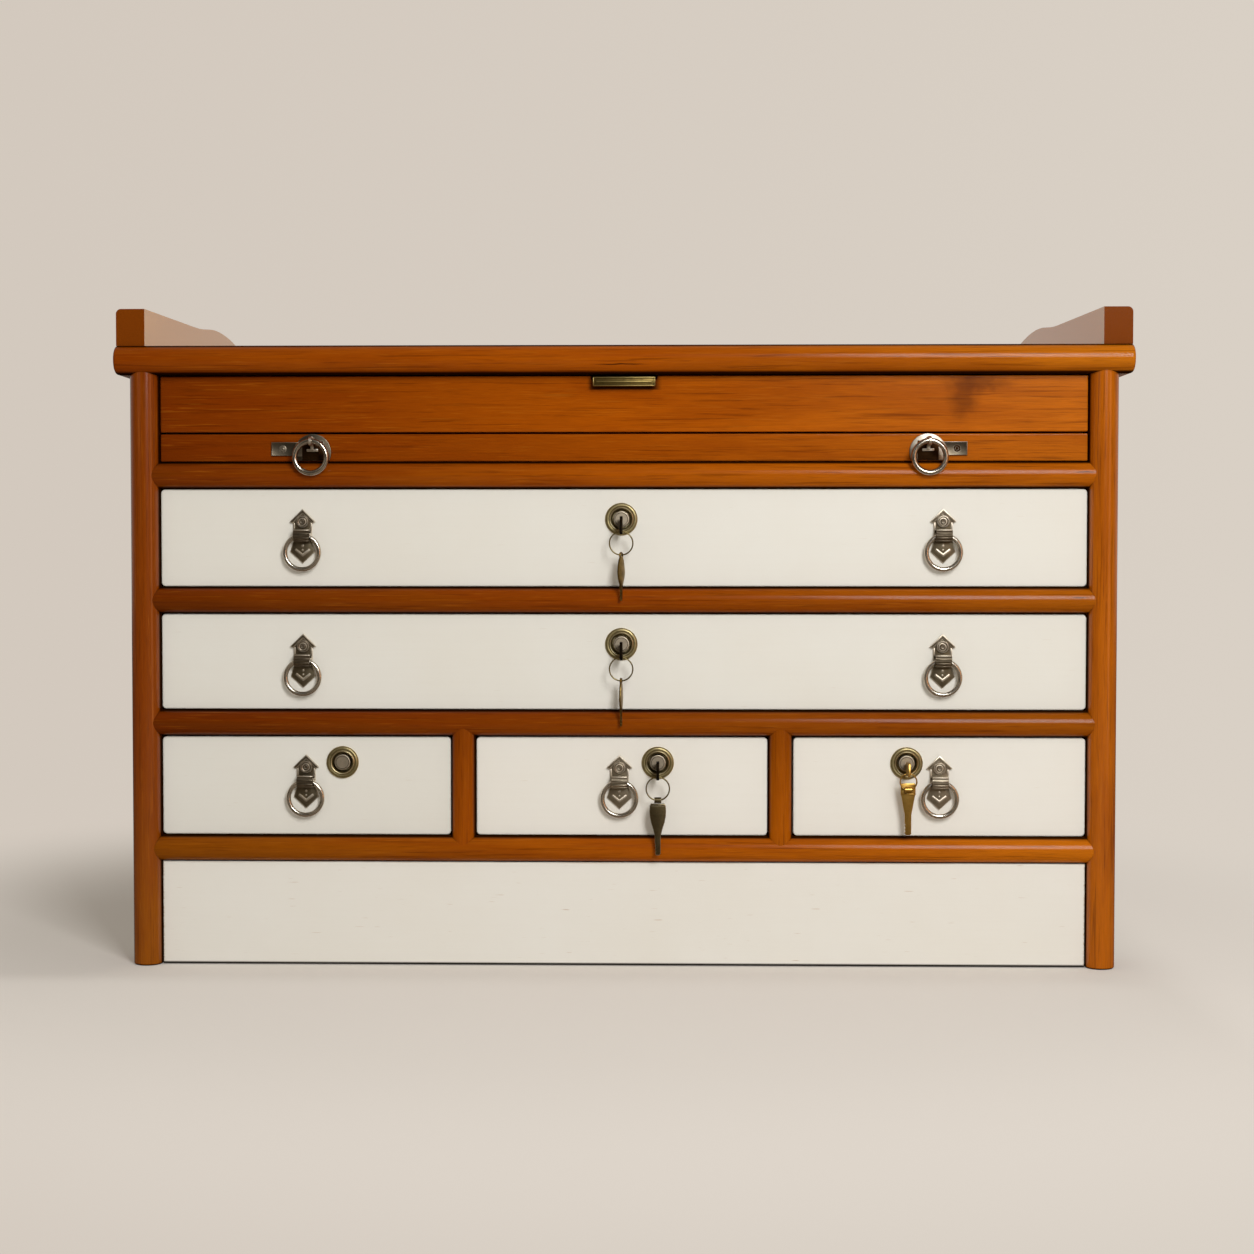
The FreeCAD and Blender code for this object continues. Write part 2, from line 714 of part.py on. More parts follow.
def pull_plate(label, x, z):
    """A cut backplate with a strap loop for the ring, held by one bolt and its nut."""
    body = new_body(label + "_sheet")
    half = [
        (size("plate_eave_half"), size("plate_eave_rise")),
        (size("plate_neck_half"), size("plate_eave_rise") - size("plate_thick")),
        (size("plate_neck_half"), -size("plate_neck_drop")),
        (size("plate_tongue_half"), -size("plate_tongue_drop")),
    ]
    corners = [(0, size("plate_apex"))] + half + [(0, -size("plate_tongue_tip"))]
    corners += [(-u, v) for u, v in reversed(half)]
    pad(body, outline(body, "XZ_Plane", corners), size("plate_thick"))
    put(body, x, face, z)
    start = x - size("loop_width") / 2
    strap = rod(label + "_strap", "x", loop_outer, size("loop_width"), start, loop_axis, z)
    bolt_z = z + size("plate_bolt_rise")
    plate_face = face - size("plate_thick")
    plate = cut(
        label, fuse(label + "_blank", body, strap),
        rod(label + "_bore", "x", loop_bore, size("loop_width"), start, loop_axis, z),
        rod(label + "_bolt_hole", "y", size("bolt_radius") + size("bolt_play"), size("plate_thick"),
            x, plate_face, bolt_z))
    head = rod(
        label + "_head", "y", size("bolt_head_radius"), size("bolt_head_height"),
        x, plate_face - size("bolt_head_height"), bolt_z)
    shank_length = size("plate_thick") + size("front_thick") + size("bolt_nut_height") + size("bolt_tail")
    shank = rod(label + "_shank", "y", size("bolt_radius"), shank_length, x, plate_face, bolt_z)
    bolt_nut = nut(
        label + "_nut", size("bolt_nut_radius"), size("bolt_radius") + size("bolt_play") / 2,
        size("bolt_nut_height"), x, face + size("front_thick"), bolt_z)
    return [plate, fuse(label + "_bolt", head, shank), bolt_nut]


def pull_ring(label, x, z):
    """The ring that swings in the strap loop."""
    return keep(label, hoop(
        label, size("ring_radius"), size("ring_wire"), x, loop_axis, z - size("ring_radius")))


def lock_body(label, x, z):
    """A flanged barrel through the drawer front and the nut behind it."""
    body = new_body(label + "_turned")
    base = size("flange_base")
    bore = size("plug_radius") + size("plug_play")
    bead = (size("flange_radius") - size("flange_bore")) / 2
    rim = -(base + bead)
    land = bead / 2
    corners = [
        (bore, -base),
        (size("flange_bore"), -base),
        (size("flange_bore"), rim + land),
        (size("flange_bore") + land, rim),
        (size("flange_radius") - land, rim),
        (size("flange_radius"), rim + land),
        (size("flange_radius"), 0),
        (size("barrel_radius"), 0),
        (size("barrel_radius"), size("barrel_length")),
        (bore, size("barrel_length")),
    ]
    arcs = {2: (land, -1), 4: (land, -1)}
    sketch = outline(body, "XY_Plane", corners, arcs)
    turned = body.newObject("PartDesign::Revolution", body.Name + "_turn")
    turned.Profile = sketch
    turned.ReferenceAxis = (sketch, ["V_Axis"])
    turned.Angle = 360.0
    body.Tip = turned
    put(body, x, face, z)
    ring_nut = nut(
        label + "_nut", size("lock_nut_radius"), size("barrel_radius") + size("barrel_play") / 2,
        size("lock_nut_height"), x, face + size("front_thick"), z)
    return keep(label, group(label, [body, ring_nut]))


key_face = face - size("key_reach")


def inserted_key(label, x, z, hole_drop):
    """A flat key that stands edge-on in its lock; its head hangs low, with a round hole near its end."""
    body = new_body(label + "_blank")
    head_top = size("key_head_rise") + size("key_drop")
    head_end = size("key_drop") - hole_drop - size("key_hole_radius") - size("key_hole_wall")
    corners = [
        (0, head_top),
        (size("key_head_length"), head_top),
        (size("key_neck_end"), size("key_blade_half")),
        (size("key_length"), size("key_blade_half")),
        (size("key_length"), -size("key_blade_half")),
        (size("key_neck_end"), -size("key_blade_half")),
        (size("key_head_length"), head_end),
        (0, head_end),
    ]
    pad(body, outline(body, "YZ_Plane", corners), size("key_thick"))
    start = x - size("key_thick") / 2
    put(body, start, key_face, z - size("key_drop"))
    hole = rod(
        label + "_hole", "x", size("key_hole_radius"), size("key_thick"),
        start, key_face + size("key_hole_depth"), z - hole_drop)
    return cut(label, body, hole)


def lock_plug(label, x, z, cam_side, hole_drop):
    """The plug that turns in its barrel, with its cam, its cam screw and any key that stands in it."""
    start = face - size("plug_stand")
    end = face + size("rail_depth") + size("cam_gap")
    core = rod(label + "_core", "y", size("plug_radius"), end - start, x, start, z)
    slot_half = size("key_thick") / 2 + size("keyway_play")
    slot_end = key_face + size("key_length") + size("keyway_end")
    slot = board(
        label + "_keyway", x - slot_half, x + slot_half, start, slot_end,
        z - size("plug_radius") - size("plug_tail"), z + size("keyway_rise"))
    plug = cut(label + "_plug", core, slot)
    cam_half = size("cam_width") / 2
    arm_end = size("cam_reach") - cam_half
    arm_x = (x, x + arm_end) if cam_side > 0 else (x - arm_end, x)
    tip_x = x + cam_side * arm_end
    cam = fuse(
        label + "_cam",
        rod(label + "_cam_hub", "y", size("plug_radius"), size("cam_thick"), x, end, z),
        rod(label + "_cam_tip", "y", cam_half, size("cam_thick"), tip_x, end, z),
        board(label + "_cam_arm", *arm_x, end, end + size("cam_thick"), z - cam_half, z + cam_half))
    screw = rod(
        label + "_cam_screw", "y", size("cam_screw_radius"), size("cam_screw_height"),
        x, end + size("cam_thick"), z)
    pieces = [plug, cam, screw]
    if hole_drop is not None:
        pieces.append(inserted_key(label + "_key", x, z, hole_drop))
    return keep(label, group(label, pieces))


hang_y = key_face + size("key_hole_depth")
hang_play = size("key_hole_radius") - size("key_ring_wire") - size("key_ring_play")
hang_drop = size("key_hole_drop") + hang_play
right_hang_drop = size("right_key_hole_drop") + hang_play


def key_ring(label, x, z, drop, radius):
    """The wire ring that hangs in the key's hole."""
    return keep(label, hoop(label, radius, size("key_ring_wire"), x, hang_y, z - drop - radius))


def edge_key(label, x, z, turn):
    """A spare key that hangs by its hole, turned about the vertical."""
    body = new_body(label + "_blank")
    half = [
        (size("key_head_half"), 0),
        (size("key_head_half"), -size("key_head_length")),
        (size("key_blade_half"), -size("key_taper_end")),
        (size("key_blade_half"), -size("edge_key_length")),
    ]
    corners = half + [(-u, v) for u, v in reversed(half)]
    pad(body, outline(body, "XZ_Plane", corners), size("key_thick"))
    put(body, 0, size("key_thick") / 2, 0)
    hole = rod(
        label + "_hole", "y", size("key_hole_radius"), size("key_thick"),
        0, -(size("key_thick") / 2), -size("key_hole_depth"))
    spare = cut(label, body, hole)
    wire_z = z - hang_drop - 2 * size("key_ring_radius")
    hole_z = wire_z - hang_play
    spare.Placement = FreeCAD.Placement(
        FreeCAD.Vector(), FreeCAD.Rotation(FreeCAD.Vector(0, 0, 1), turn))
    return keep(label, put(spare, x, hang_y, hole_z + size("key_hole_depth")))


def flat_key(label, x, z, drop, ring_radius, length):
    """A spare key that hangs face-on by a rolled eye."""
    body = new_body(label + "_blank")
    half = [
        (size("flat_key_neck_half"), 0),
        (size("flat_key_half"), -(size("eye_radius") + size("flat_key_thick"))),
        (size("flat_key_half"), -size("flat_key_head")),
        (size("flat_key_blade_half"), -size("flat_key_taper")),
        (size("flat_key_blade_half"), -length),
    ]
    corners = half + [(-u, v) for u, v in reversed(half)]
    pad(body, outline(body, "XZ_Plane", corners), size("flat_key_thick"))
    wire_z = z - drop - 2 * ring_radius
    put(body, x, hang_y + size("flat_key_thick") / 2, wire_z)
    start = x - size("eye_width") / 2
    eye = rod(label + "_eye", "x", size("eye_radius"), size("eye_width"), start, hang_y, wire_z)
    reach = size("flat_key_half")
    bore = rod(label + "_bore", "x", size("eye_bore"), reach * 2, x - reach, hang_y, wire_z)
    return keep(label, cut(label, fuse(label + "_whole", body, eye), bore))


# Tray drawer with its edge pull
tray_gap = size("tray_lip_gap")
tray_panel = faced_panel(
    "tray_panel", size("front_gap") - bay, bay - size("front_gap"),
    slide_top + tray_gap, top_under - tray_gap, face, size("front_thick"),
    size("front_edge_round"), size("front_edge_round"))
pull_left = size("edge_pull_offset") - size("edge_pull_width") / 2
pull_right = size("edge_pull_offset") + size("edge_pull_width") / 2
tray_edge = top_under - tray_gap
leg_top = tray_edge - size("edge_pull_drop")
leg_under = leg_top - size("edge_pull_metal")
leg_end = face + size("edge_pull_leg")
lip_face = face - size("edge_pull_finger") - size("edge_pull_metal")
rebate = board(
    "tray_rebate", pull_left - size("edge_pull_margin"), pull_right + size("edge_pull_margin"),
    face, leg_end, leg_under, tray_edge)
keep("tray_front", cut("tray_front", tray_panel, rebate))
drawer_box("tray_box", -bay, bay, slide_top, top_under)
keep("tray_edge_pull", fuse(
    "tray_edge_pull",
    board("edge_pull_leg", pull_left, pull_right, lip_face, leg_end, leg_under, leg_top),
    board("edge_pull_lip", pull_left, pull_right, lip_face, face - size("edge_pull_finger"),
          leg_top - size("edge_pull_height"), leg_top)))

# Writing slide: a lipped board with two ring pulls
lip_gap = size("slide_lip_gap")
lip_back = face + size("slide_lip_thick")
lip_base = slide_base + lip_gap
lip_panel = faced_panel(
    "slide_lip_panel", size("front_gap") - bay, bay - size("front_gap"), lip_base, slide_top - lip_gap, face,
    size("slide_lip_thick"), size("front_edge_round"), size("front_edge_round"))
slide_edge = bay - size("tray_strip_width") - size("slide_board_clear")
keep("slide_board", board(
    "slide_board", -slide_edge, slide_edge, lip_back, back_inner - size("box_stop_gap"),
    slide_base, slide_top - size("slide_board_drop")))

plate_z = slide_top - size("slide_plate_drop")
pivot_z = slide_top - size("slide_pivot_drop")
ring_axis = face - size("slide_ring_stand")
plate_front = face - size("slide_plate_thick")
lug_bore = size("slide_ring_wire") + size("slide_ring_play")
lug_radius = lug_bore + size("slide_lug_wall")
slide_plates = []
screw_bores = []
for side, sign in (("left", -1), ("right", 1)):
    name = "slide_pull_" + side
    x = sign * (half_body - size(side + "_slide_inset"))
    tail = size(side + "_tail_reach")
    tail_x = (x, x + tail) if sign > 0 else (x - tail, x)
    tail_z = plate_z + size("slide_tail_rise")
    tail_half = size("slide_tail_height") / 2
    lug_half = size("slide_lug_thick") / 2
    foot_half = size("slide_foot_width") / 2
    foot_rise = size("slide_foot_height")
    foot_z = pivot_z - size("slide_foot_drop")
    disc = rod(
        name + "_disc", "y", size("slide_plate_radius"), size("slide_plate_thick"),
        x, plate_front, plate_z)
    trim = board(
        name + "_trim", x - size("slide_plate_radius"), x + size("slide_plate_radius"), plate_front, face,
        plate_z - size("slide_plate_radius"), lip_base + size("slide_plate_lift"))
    sheet_piece = fuse(
        name + "_sheet", cut(name + "_round", disc, trim),
        board(name + "_tail", *tail_x, plate_front, face, tail_z - tail_half, tail_z + tail_half))
    lug = fuse(
        name + "_lug",
        board(name + "_lug_arm", x - lug_half, x + lug_half, ring_axis, plate_front,
              pivot_z - lug_radius, pivot_z + lug_radius),
        rod(name + "_lug_end", "x", lug_radius, size("slide_lug_thick"), x - lug_half, ring_axis, pivot_z),
        board(name + "_pin", x - lug_half, x + lug_half, plate_front - size("slide_pin_stand"), plate_front,
              foot_z, pivot_z),
        board(name + "_foot", x - foot_half, x + foot_half, plate_front - foot_rise, plate_front,
              foot_z - foot_rise, foot_z + foot_rise))
    eye = rod(name + "_eye", "x", lug_bore, size("slide_lug_thick"), x - lug_half, ring_axis, pivot_z)
    screw_x = x + sign * (tail + size("slide_plate_radius")) / 2
    core_hole = size("slide_screw_core") + size("bolt_play") / 2
    plate_hole = rod(name + "_hole", "y", core_hole, size("slide_plate_thick"), screw_x, plate_front, tail_z)
    slide_plates.append(cut(name, fuse(name + "_whole", sheet_piece, lug), eye, plate_hole))
    slide_plates.append(fuse(
        name + "_screw",
        rod(name + "_screw_head", "y", size("slide_screw_radius"), size("slide_screw_head"),
            screw_x, plate_front - size("slide_screw_head"), tail_z),
        rod(name + "_screw_core", "y", size("slide_screw_core"), size("slide_screw_length"),
            screw_x, plate_front, tail_z)))
    screw_bores.append(rod(
        name + "_bore", "y", core_hole, size("slide_screw_length"), screw_x, face, tail_z))
    keep("slide_ring_" + side, hoop(
        "slide_ring_" + side, size("slide_ring_radius"), size("slide_ring_wire"),
        x, ring_axis, pivot_z - size("slide_ring_radius")))
keep("slide_lip", cut("slide_lip", lip_panel, *screw_bores))
keep("slide_pull_plates", group("slide_pull_plates", slide_plates))

# Painted drawers: name, left and right planes, base, top, lock x and drop, pulls and their drop,
# the side that the cam points to, and how low the hole of the key in the lock is
inner_left = -divider_x + divider_radius
half_spread = half_body - size("long_pull_inset")
inner_side = divider_x + divider_radius
outer_pull_x = inner_side + size("outer_pull_inset")
left_lock_x = -inner_side - size("left_lock_inset")
right_lock_x = inner_side + size("right_lock_inset")
low_hole = size("key_hole_drop")
high_hole = size("right_key_hole_drop")
DRAWERS = [
    ("upper", -bay, bay, upper_base, upper_top, -size("long_lock_offset"), size("lock_drop"),
     (("left", -half_spread), ("right", half_spread)), size("pull_drop"), -1, low_hole),
    ("lower", -bay, bay, lower_base, lower_top, -size("long_lock_offset"), size("lock_drop"),
     (("left", -half_spread), ("right", half_spread)), size("pull_drop"), -1, low_hole),
    ("left", -bay, -inner_side, small_base, small_top, left_lock_x,
     size("small_lock_drop"), (("", -outer_pull_x),), size("small_pull_drop"), -1, None),
    ("middle", inner_left, -inner_left, small_base, small_top, size("middle_lock_offset"),
     size("small_lock_drop"), (("", -size("middle_pull_offset")),), size("small_pull_drop"), 1, low_hole),
    ("right", inner_side, bay, small_base, small_top, right_lock_x,
     size("small_lock_drop"), (("", outer_pull_x),), size("small_pull_drop"), -1, high_hole),
]
lock_points = {}
for name, x0, x1, base, top, lock_x, lock_fall, pulls, pull_fall, cam_side, hole_drop in DRAWERS:
    lock_z = top - lock_fall
    pull_z = top - pull_fall
    lock_points[name] = (lock_x, lock_z)
    drawer_front(name + "_front", x0, x1, base, top, (lock_x, lock_z), [(x, pull_z) for side, x in pulls])
    drawer_box(name + "_box", x0, x1, base, top)
    plates = []
    for side, x in pulls:
        suffix = "_" + side if side else ""
        plates += pull_plate(name + "_pull" + suffix, x, pull_z)
        pull_ring(name + "_ring" + suffix, x, pull_z)
    plate_label = name + ("_pull_plates" if len(pulls) > 1 else "_pull_plate")
    keep(plate_label, group(plate_label, plates))
    lock_body(name + "_lock_body", lock_x, lock_z)
    lock_plug(name + "_lock_plug", lock_x, lock_z, cam_side, hole_drop)

# Key rings and spare keys on the four keyed locks
for name in ("upper", "lower", "middle"):
    key_ring(name + "_key_ring", *lock_points[name], hang_drop, size("key_ring_radius"))
key_ring("right_key_ring", *lock_points["right"], right_hang_drop, size("right_key_ring_radius"))
edge_key("upper_spare_key", *lock_points["upper"], UPPER_KEY_TURN)
edge_key("lower_spare_key", *lock_points["lower"], LOWER_KEY_TURN)
flat_key(
    "middle_spare_key", *lock_points["middle"], hang_drop, size("key_ring_radius"),
    size("middle_key_length"))
flat_key(
    "right_spare_key", *lock_points["right"], right_hang_drop, size("right_key_ring_radius"),
    size("right_key_length"))

# Every feature must be sound before a node is written
doc.recompute()
for thing in doc.Objects:
    if "Invalid" in thing.State or "Error" in thing.State:
        raise RuntimeError("%s did not build: %s" % (thing.Name, thing.State))
for label, piece in parts.items():
    if piece.Label != label:
        raise RuntimeError("label %s is taken" % label)
    if piece.Shape.isNull() or not piece.Shape.isValid() or not piece.Shape.Solids:
        raise RuntimeError("%s has no sound solid" % label)

os.makedirs("parts", exist_ok=True)
for label, piece in parts.items():
    piece.Shape.exportStep("parts/%s.step" % label)
print(len(parts), "nodes written")
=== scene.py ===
"""Looks of a tabletop chest of drawers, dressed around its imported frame.

The wooden solids and the pulls' rings stay as they were packed and get their finishes here. The pulls,
locks, keys and key rings are modelled again with their small forms, and each new piece stands for the
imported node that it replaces.
"""

import logging
import math
from dataclasses import dataclass, replace
from enum import Enum, IntEnum

import bmesh
import bpy
from mathutils import Color, Matrix, Vector


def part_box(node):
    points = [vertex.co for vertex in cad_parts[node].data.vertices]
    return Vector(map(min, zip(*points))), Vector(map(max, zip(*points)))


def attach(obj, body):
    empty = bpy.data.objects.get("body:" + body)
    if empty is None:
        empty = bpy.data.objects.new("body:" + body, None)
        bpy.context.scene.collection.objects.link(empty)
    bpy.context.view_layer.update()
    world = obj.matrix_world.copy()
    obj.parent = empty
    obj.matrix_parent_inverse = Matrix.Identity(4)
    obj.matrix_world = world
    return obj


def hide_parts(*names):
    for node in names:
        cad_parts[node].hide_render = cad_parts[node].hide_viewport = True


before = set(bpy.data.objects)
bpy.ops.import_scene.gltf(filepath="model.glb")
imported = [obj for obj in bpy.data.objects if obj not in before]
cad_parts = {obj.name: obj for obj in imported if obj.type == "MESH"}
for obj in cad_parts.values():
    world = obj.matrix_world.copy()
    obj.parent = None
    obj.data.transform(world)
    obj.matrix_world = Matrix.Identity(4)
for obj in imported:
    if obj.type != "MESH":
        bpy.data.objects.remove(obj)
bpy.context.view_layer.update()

log = logging.getLogger("chest")

MM = 0.001
AXES = "XYZ"
FACE_Y = -156.0
FULL_TURN = 2.0 * math.pi
QUARTER_TURN = math.pi / 2
IMAGE_PIXELS = 1254
SENSOR_MM = 36.0
BYTE_MAX = 255
SHARP_ANGLE = math.radians(38.0)
JOIN_DISTANCE = 1e-4
BEVEL_STEPS = 2
HEXAGON = 6
NOISE_MIDDLE = (0.5, 0.5, 0.5)
DRAWERS = ("upper", "lower", "left", "middle", "right")
KEYED_DRAWERS = ("upper", "lower", "middle", "right")
# Socket numbers of the colour mix node, whose sockets share their names
FACTOR, FIRST, SECOND, MIXED = 0, 6, 7, 2

Point = tuple[float, float, float]
Flat = tuple[float, float]
Socket = bpy.types.NodeSocket
Tone = Socket | str


def linear(colour: str) -> tuple[float, float, float, float]:
    """Turn an sRGB hex colour into the linear colour that a shader takes.

    Args:
        colour: The colour as a hash sign and six digits.

    Returns:
        Linear red, green, blue and an alpha of one.
    """
    channels = [value / BYTE_MAX for value in bytes.fromhex(colour[1:])]
    return (*Color(channels).from_srgb_to_scene_linear(), 1.0)


def metres(*lengths: float) -> tuple[float, ...]:
    """Turn lengths in millimetres into metres."""
    return tuple(length * MM for length in lengths)


class Grain(Enum):
    """Axis that a board's grain runs along."""

    ALONG_X = "X"
    ALONG_Y = "Y"
    ALONG_Z = "Z"

    def stretch(self, run: float, width: float) -> Point:
        """Scale that makes a pattern's cells so long and so wide.

        Args:
            run: Length of a cell along the grain, in millimetres.
            width: Width of a cell across the grain, in millimetres.

        Returns:
            Cells per metre along X, Y and Z.
        """
        return tuple(1.0 / ((run if axis == self.value else width) * MM) for axis in AXES)


@dataclass(frozen=True)
class Pattern:
    """A noise with cells stretched along the grain, and the part of its range that shows."""

    run_mm: float
    width_mm: float
    detail: float
    shown: Flat
    roughness: float = 0.5
    distortion: float = 0.0
    smooth: bool = False


@dataclass(frozen=True)
class Relief:
    """How strongly and how deep a surface is textured, and whether its pattern is sunk in."""

    strength: float
    depth_mm: float
    sunk: bool = False


@dataclass(frozen=True)
class Stain:
    """A dark blot on the wood, such as a knot or a painted shadow: its middle and half sizes in millimetres.
    """

    x: float
    z: float
    half_width: float
    half_height: float
    strength: float
    ragged: float
    tone: str = "#421700"
    square: bool = False


class Recipe:
    """A shader in the making, with a short call for each kind of node that the finishes use."""

    def __init__(self, owner: bpy.types.Material | bpy.types.World) -> None:
        """Start with an empty tree.

        Args:
            owner: Material or world that the shader belongs to.
        """
        owner.use_nodes = True
        self.tree = owner.node_tree
        self.tree.nodes.clear()

    def add(self, kind: str, inputs: dict | None = None, **settings) -> bpy.types.Node:
        """Add one node with its settings, its values and its links.

        Args:
            kind: Type of the node.
            inputs: Socket name or number, to a value, a hex colour or the socket that is linked to it.
            **settings: Properties of the node itself.

        Returns:
            The new node.
        """
        node = self.tree.nodes.new("ShaderNode" + kind)
        for key, value in settings.items():
            setattr(node, key, value)
        for socket, value in (inputs or {}).items():
            if isinstance(value, Socket):
                self.tree.links.new(value, node.inputs[socket])
            else:
                node.inputs[socket].default_value = linear(value) if isinstance(value, str) else value
        return node

    def place(self) -> Socket:
        """Place of the point in the piece's own frame."""
        return self.add("TexCoord").outputs["Object"]

    def split(self, vector: Socket) -> dict[str, Socket]:
        """The three parts of a vector, by axis."""
        return dict(zip(AXES, self.add("SeparateXYZ", {"Vector": vector}).outputs))

    def facing(self) -> dict[str, Socket]:
        """The three parts of the direction that the surface faces, by axis."""
        return self.split(self.add("NewGeometry").outputs["Normal"])

    def calc(self, operation: str, *values: Socket | float) -> Socket:
        """Work out a number from one or two others."""
        return self.add("Math", dict(enumerate(values)), operation=operation).outputs["Value"]

    def vector(self, operation: str, *values: Socket | Point) -> Socket:
        """Work out a vector, or the length of one, from others."""
        made = self.add("VectorMath", dict(enumerate(values)), operation=operation)
        return made.outputs["Value" if operation == "LENGTH" else "Vector"]

    def nearby(self, reach_mm: float, rays: int, **settings) -> Socket:
        """Share of the surroundings that is open: low in hollows, or at thin edges if it looks inside."""
        shade = self.add("AmbientOcclusion", {"Distance": reach_mm * MM}, samples=rays, **settings)
        return shade.outputs["AO"]

    def ramp(self, value: Socket, span: Flat = (0.0, 1.0), to: tuple = (0.0, 1.0),
             smooth: bool = False) -> Socket:
        """Read a number off a slope.

        Args:
            value: The number that is looked up.
            span: Where the slope starts and ends.
            to: Numbers at its start and end.
            smooth: Whether it eases in and out.

        Returns:
            The number on the slope.
        """
        ends = dict(zip(("From Min", "From Max", "To Min", "To Max"), (*span, *to)))
        style = "SMOOTHSTEP" if smooth else "LINEAR"
        return self.add("MapRange", {"Value": value, **ends}, interpolation_type=style).outputs["Result"]

    def mix(self, share: Socket, base: Tone, over: Tone) -> Socket:
        """Lay one colour over another.

        Args:
            share: How much of the upper colour shows.
            base: The lower colour.
            over: The upper colour.

        Returns:
            The mixed colour.
        """
        return self.add("Mix", {FACTOR: share, FIRST: base, SECOND: over}, data_type="RGBA").outputs[MIXED]

    def tint(self, mask: Socket, amount: float, base: Tone, over: Tone) -> Socket:
        """Lay some of one colour over another, where a mask lets it through."""
        return self.mix(self.calc("MULTIPLY", mask, amount), base, over)

    def figure(self, place: Socket, grain: Grain, pattern: Pattern, shift: Point = (0.0, 0.0, 0.0)) -> Socket:
        """Draw a pattern along the grain.

        Args:
            place: Place of the point.
            grain: Axis of the grain.
            pattern: The pattern.
            shift: Shift of the pattern, so that no two boards match.

        Returns:
            A mask from 0 to 1.
        """
        spread = self.add("Mapping", {
            "Vector": place, "Location": shift, "Scale": grain.stretch(pattern.run_mm, pattern.width_mm)})
        noise = self.add("TexNoise", {
            "Vector": spread.outputs["Vector"], "Scale": 1.0, "Detail": pattern.detail,
            "Roughness": pattern.roughness, "Distortion": pattern.distortion})
        return self.ramp(noise.outputs["Fac"], pattern.shown, smooth=pattern.smooth)

    def surface(self, inputs: dict, height: Socket, relief: Relief) -> None:
        """End a material's shader with a textured surface.

        Args:
            inputs: Colour, roughness and other inputs of the surface.
            height: Pattern of its texture.
            relief: Strength and depth of the texture.
        """
        depth = relief.depth_mm * MM
        bump = self.add(
            "Bump", {"Strength": relief.strength, "Distance": depth, "Height": height}, invert=relief.sunk)
        shader = self.add("BsdfPrincipled", {**inputs, "Normal": bump.outputs["Normal"]})
        self.add("OutputMaterial", {"Surface": shader.outputs["BSDF"]})


def new_material(name: str) -> tuple[bpy.types.Material, Recipe]:
    """Make a material with an empty shader."""
    made = bpy.data.materials.new(name)
    return made, Recipe(made)


# Noise settings that the varnished wood's patterns share
FIGURED = {"roughness": 0.6, "distortion": 0.4, "smooth": True}


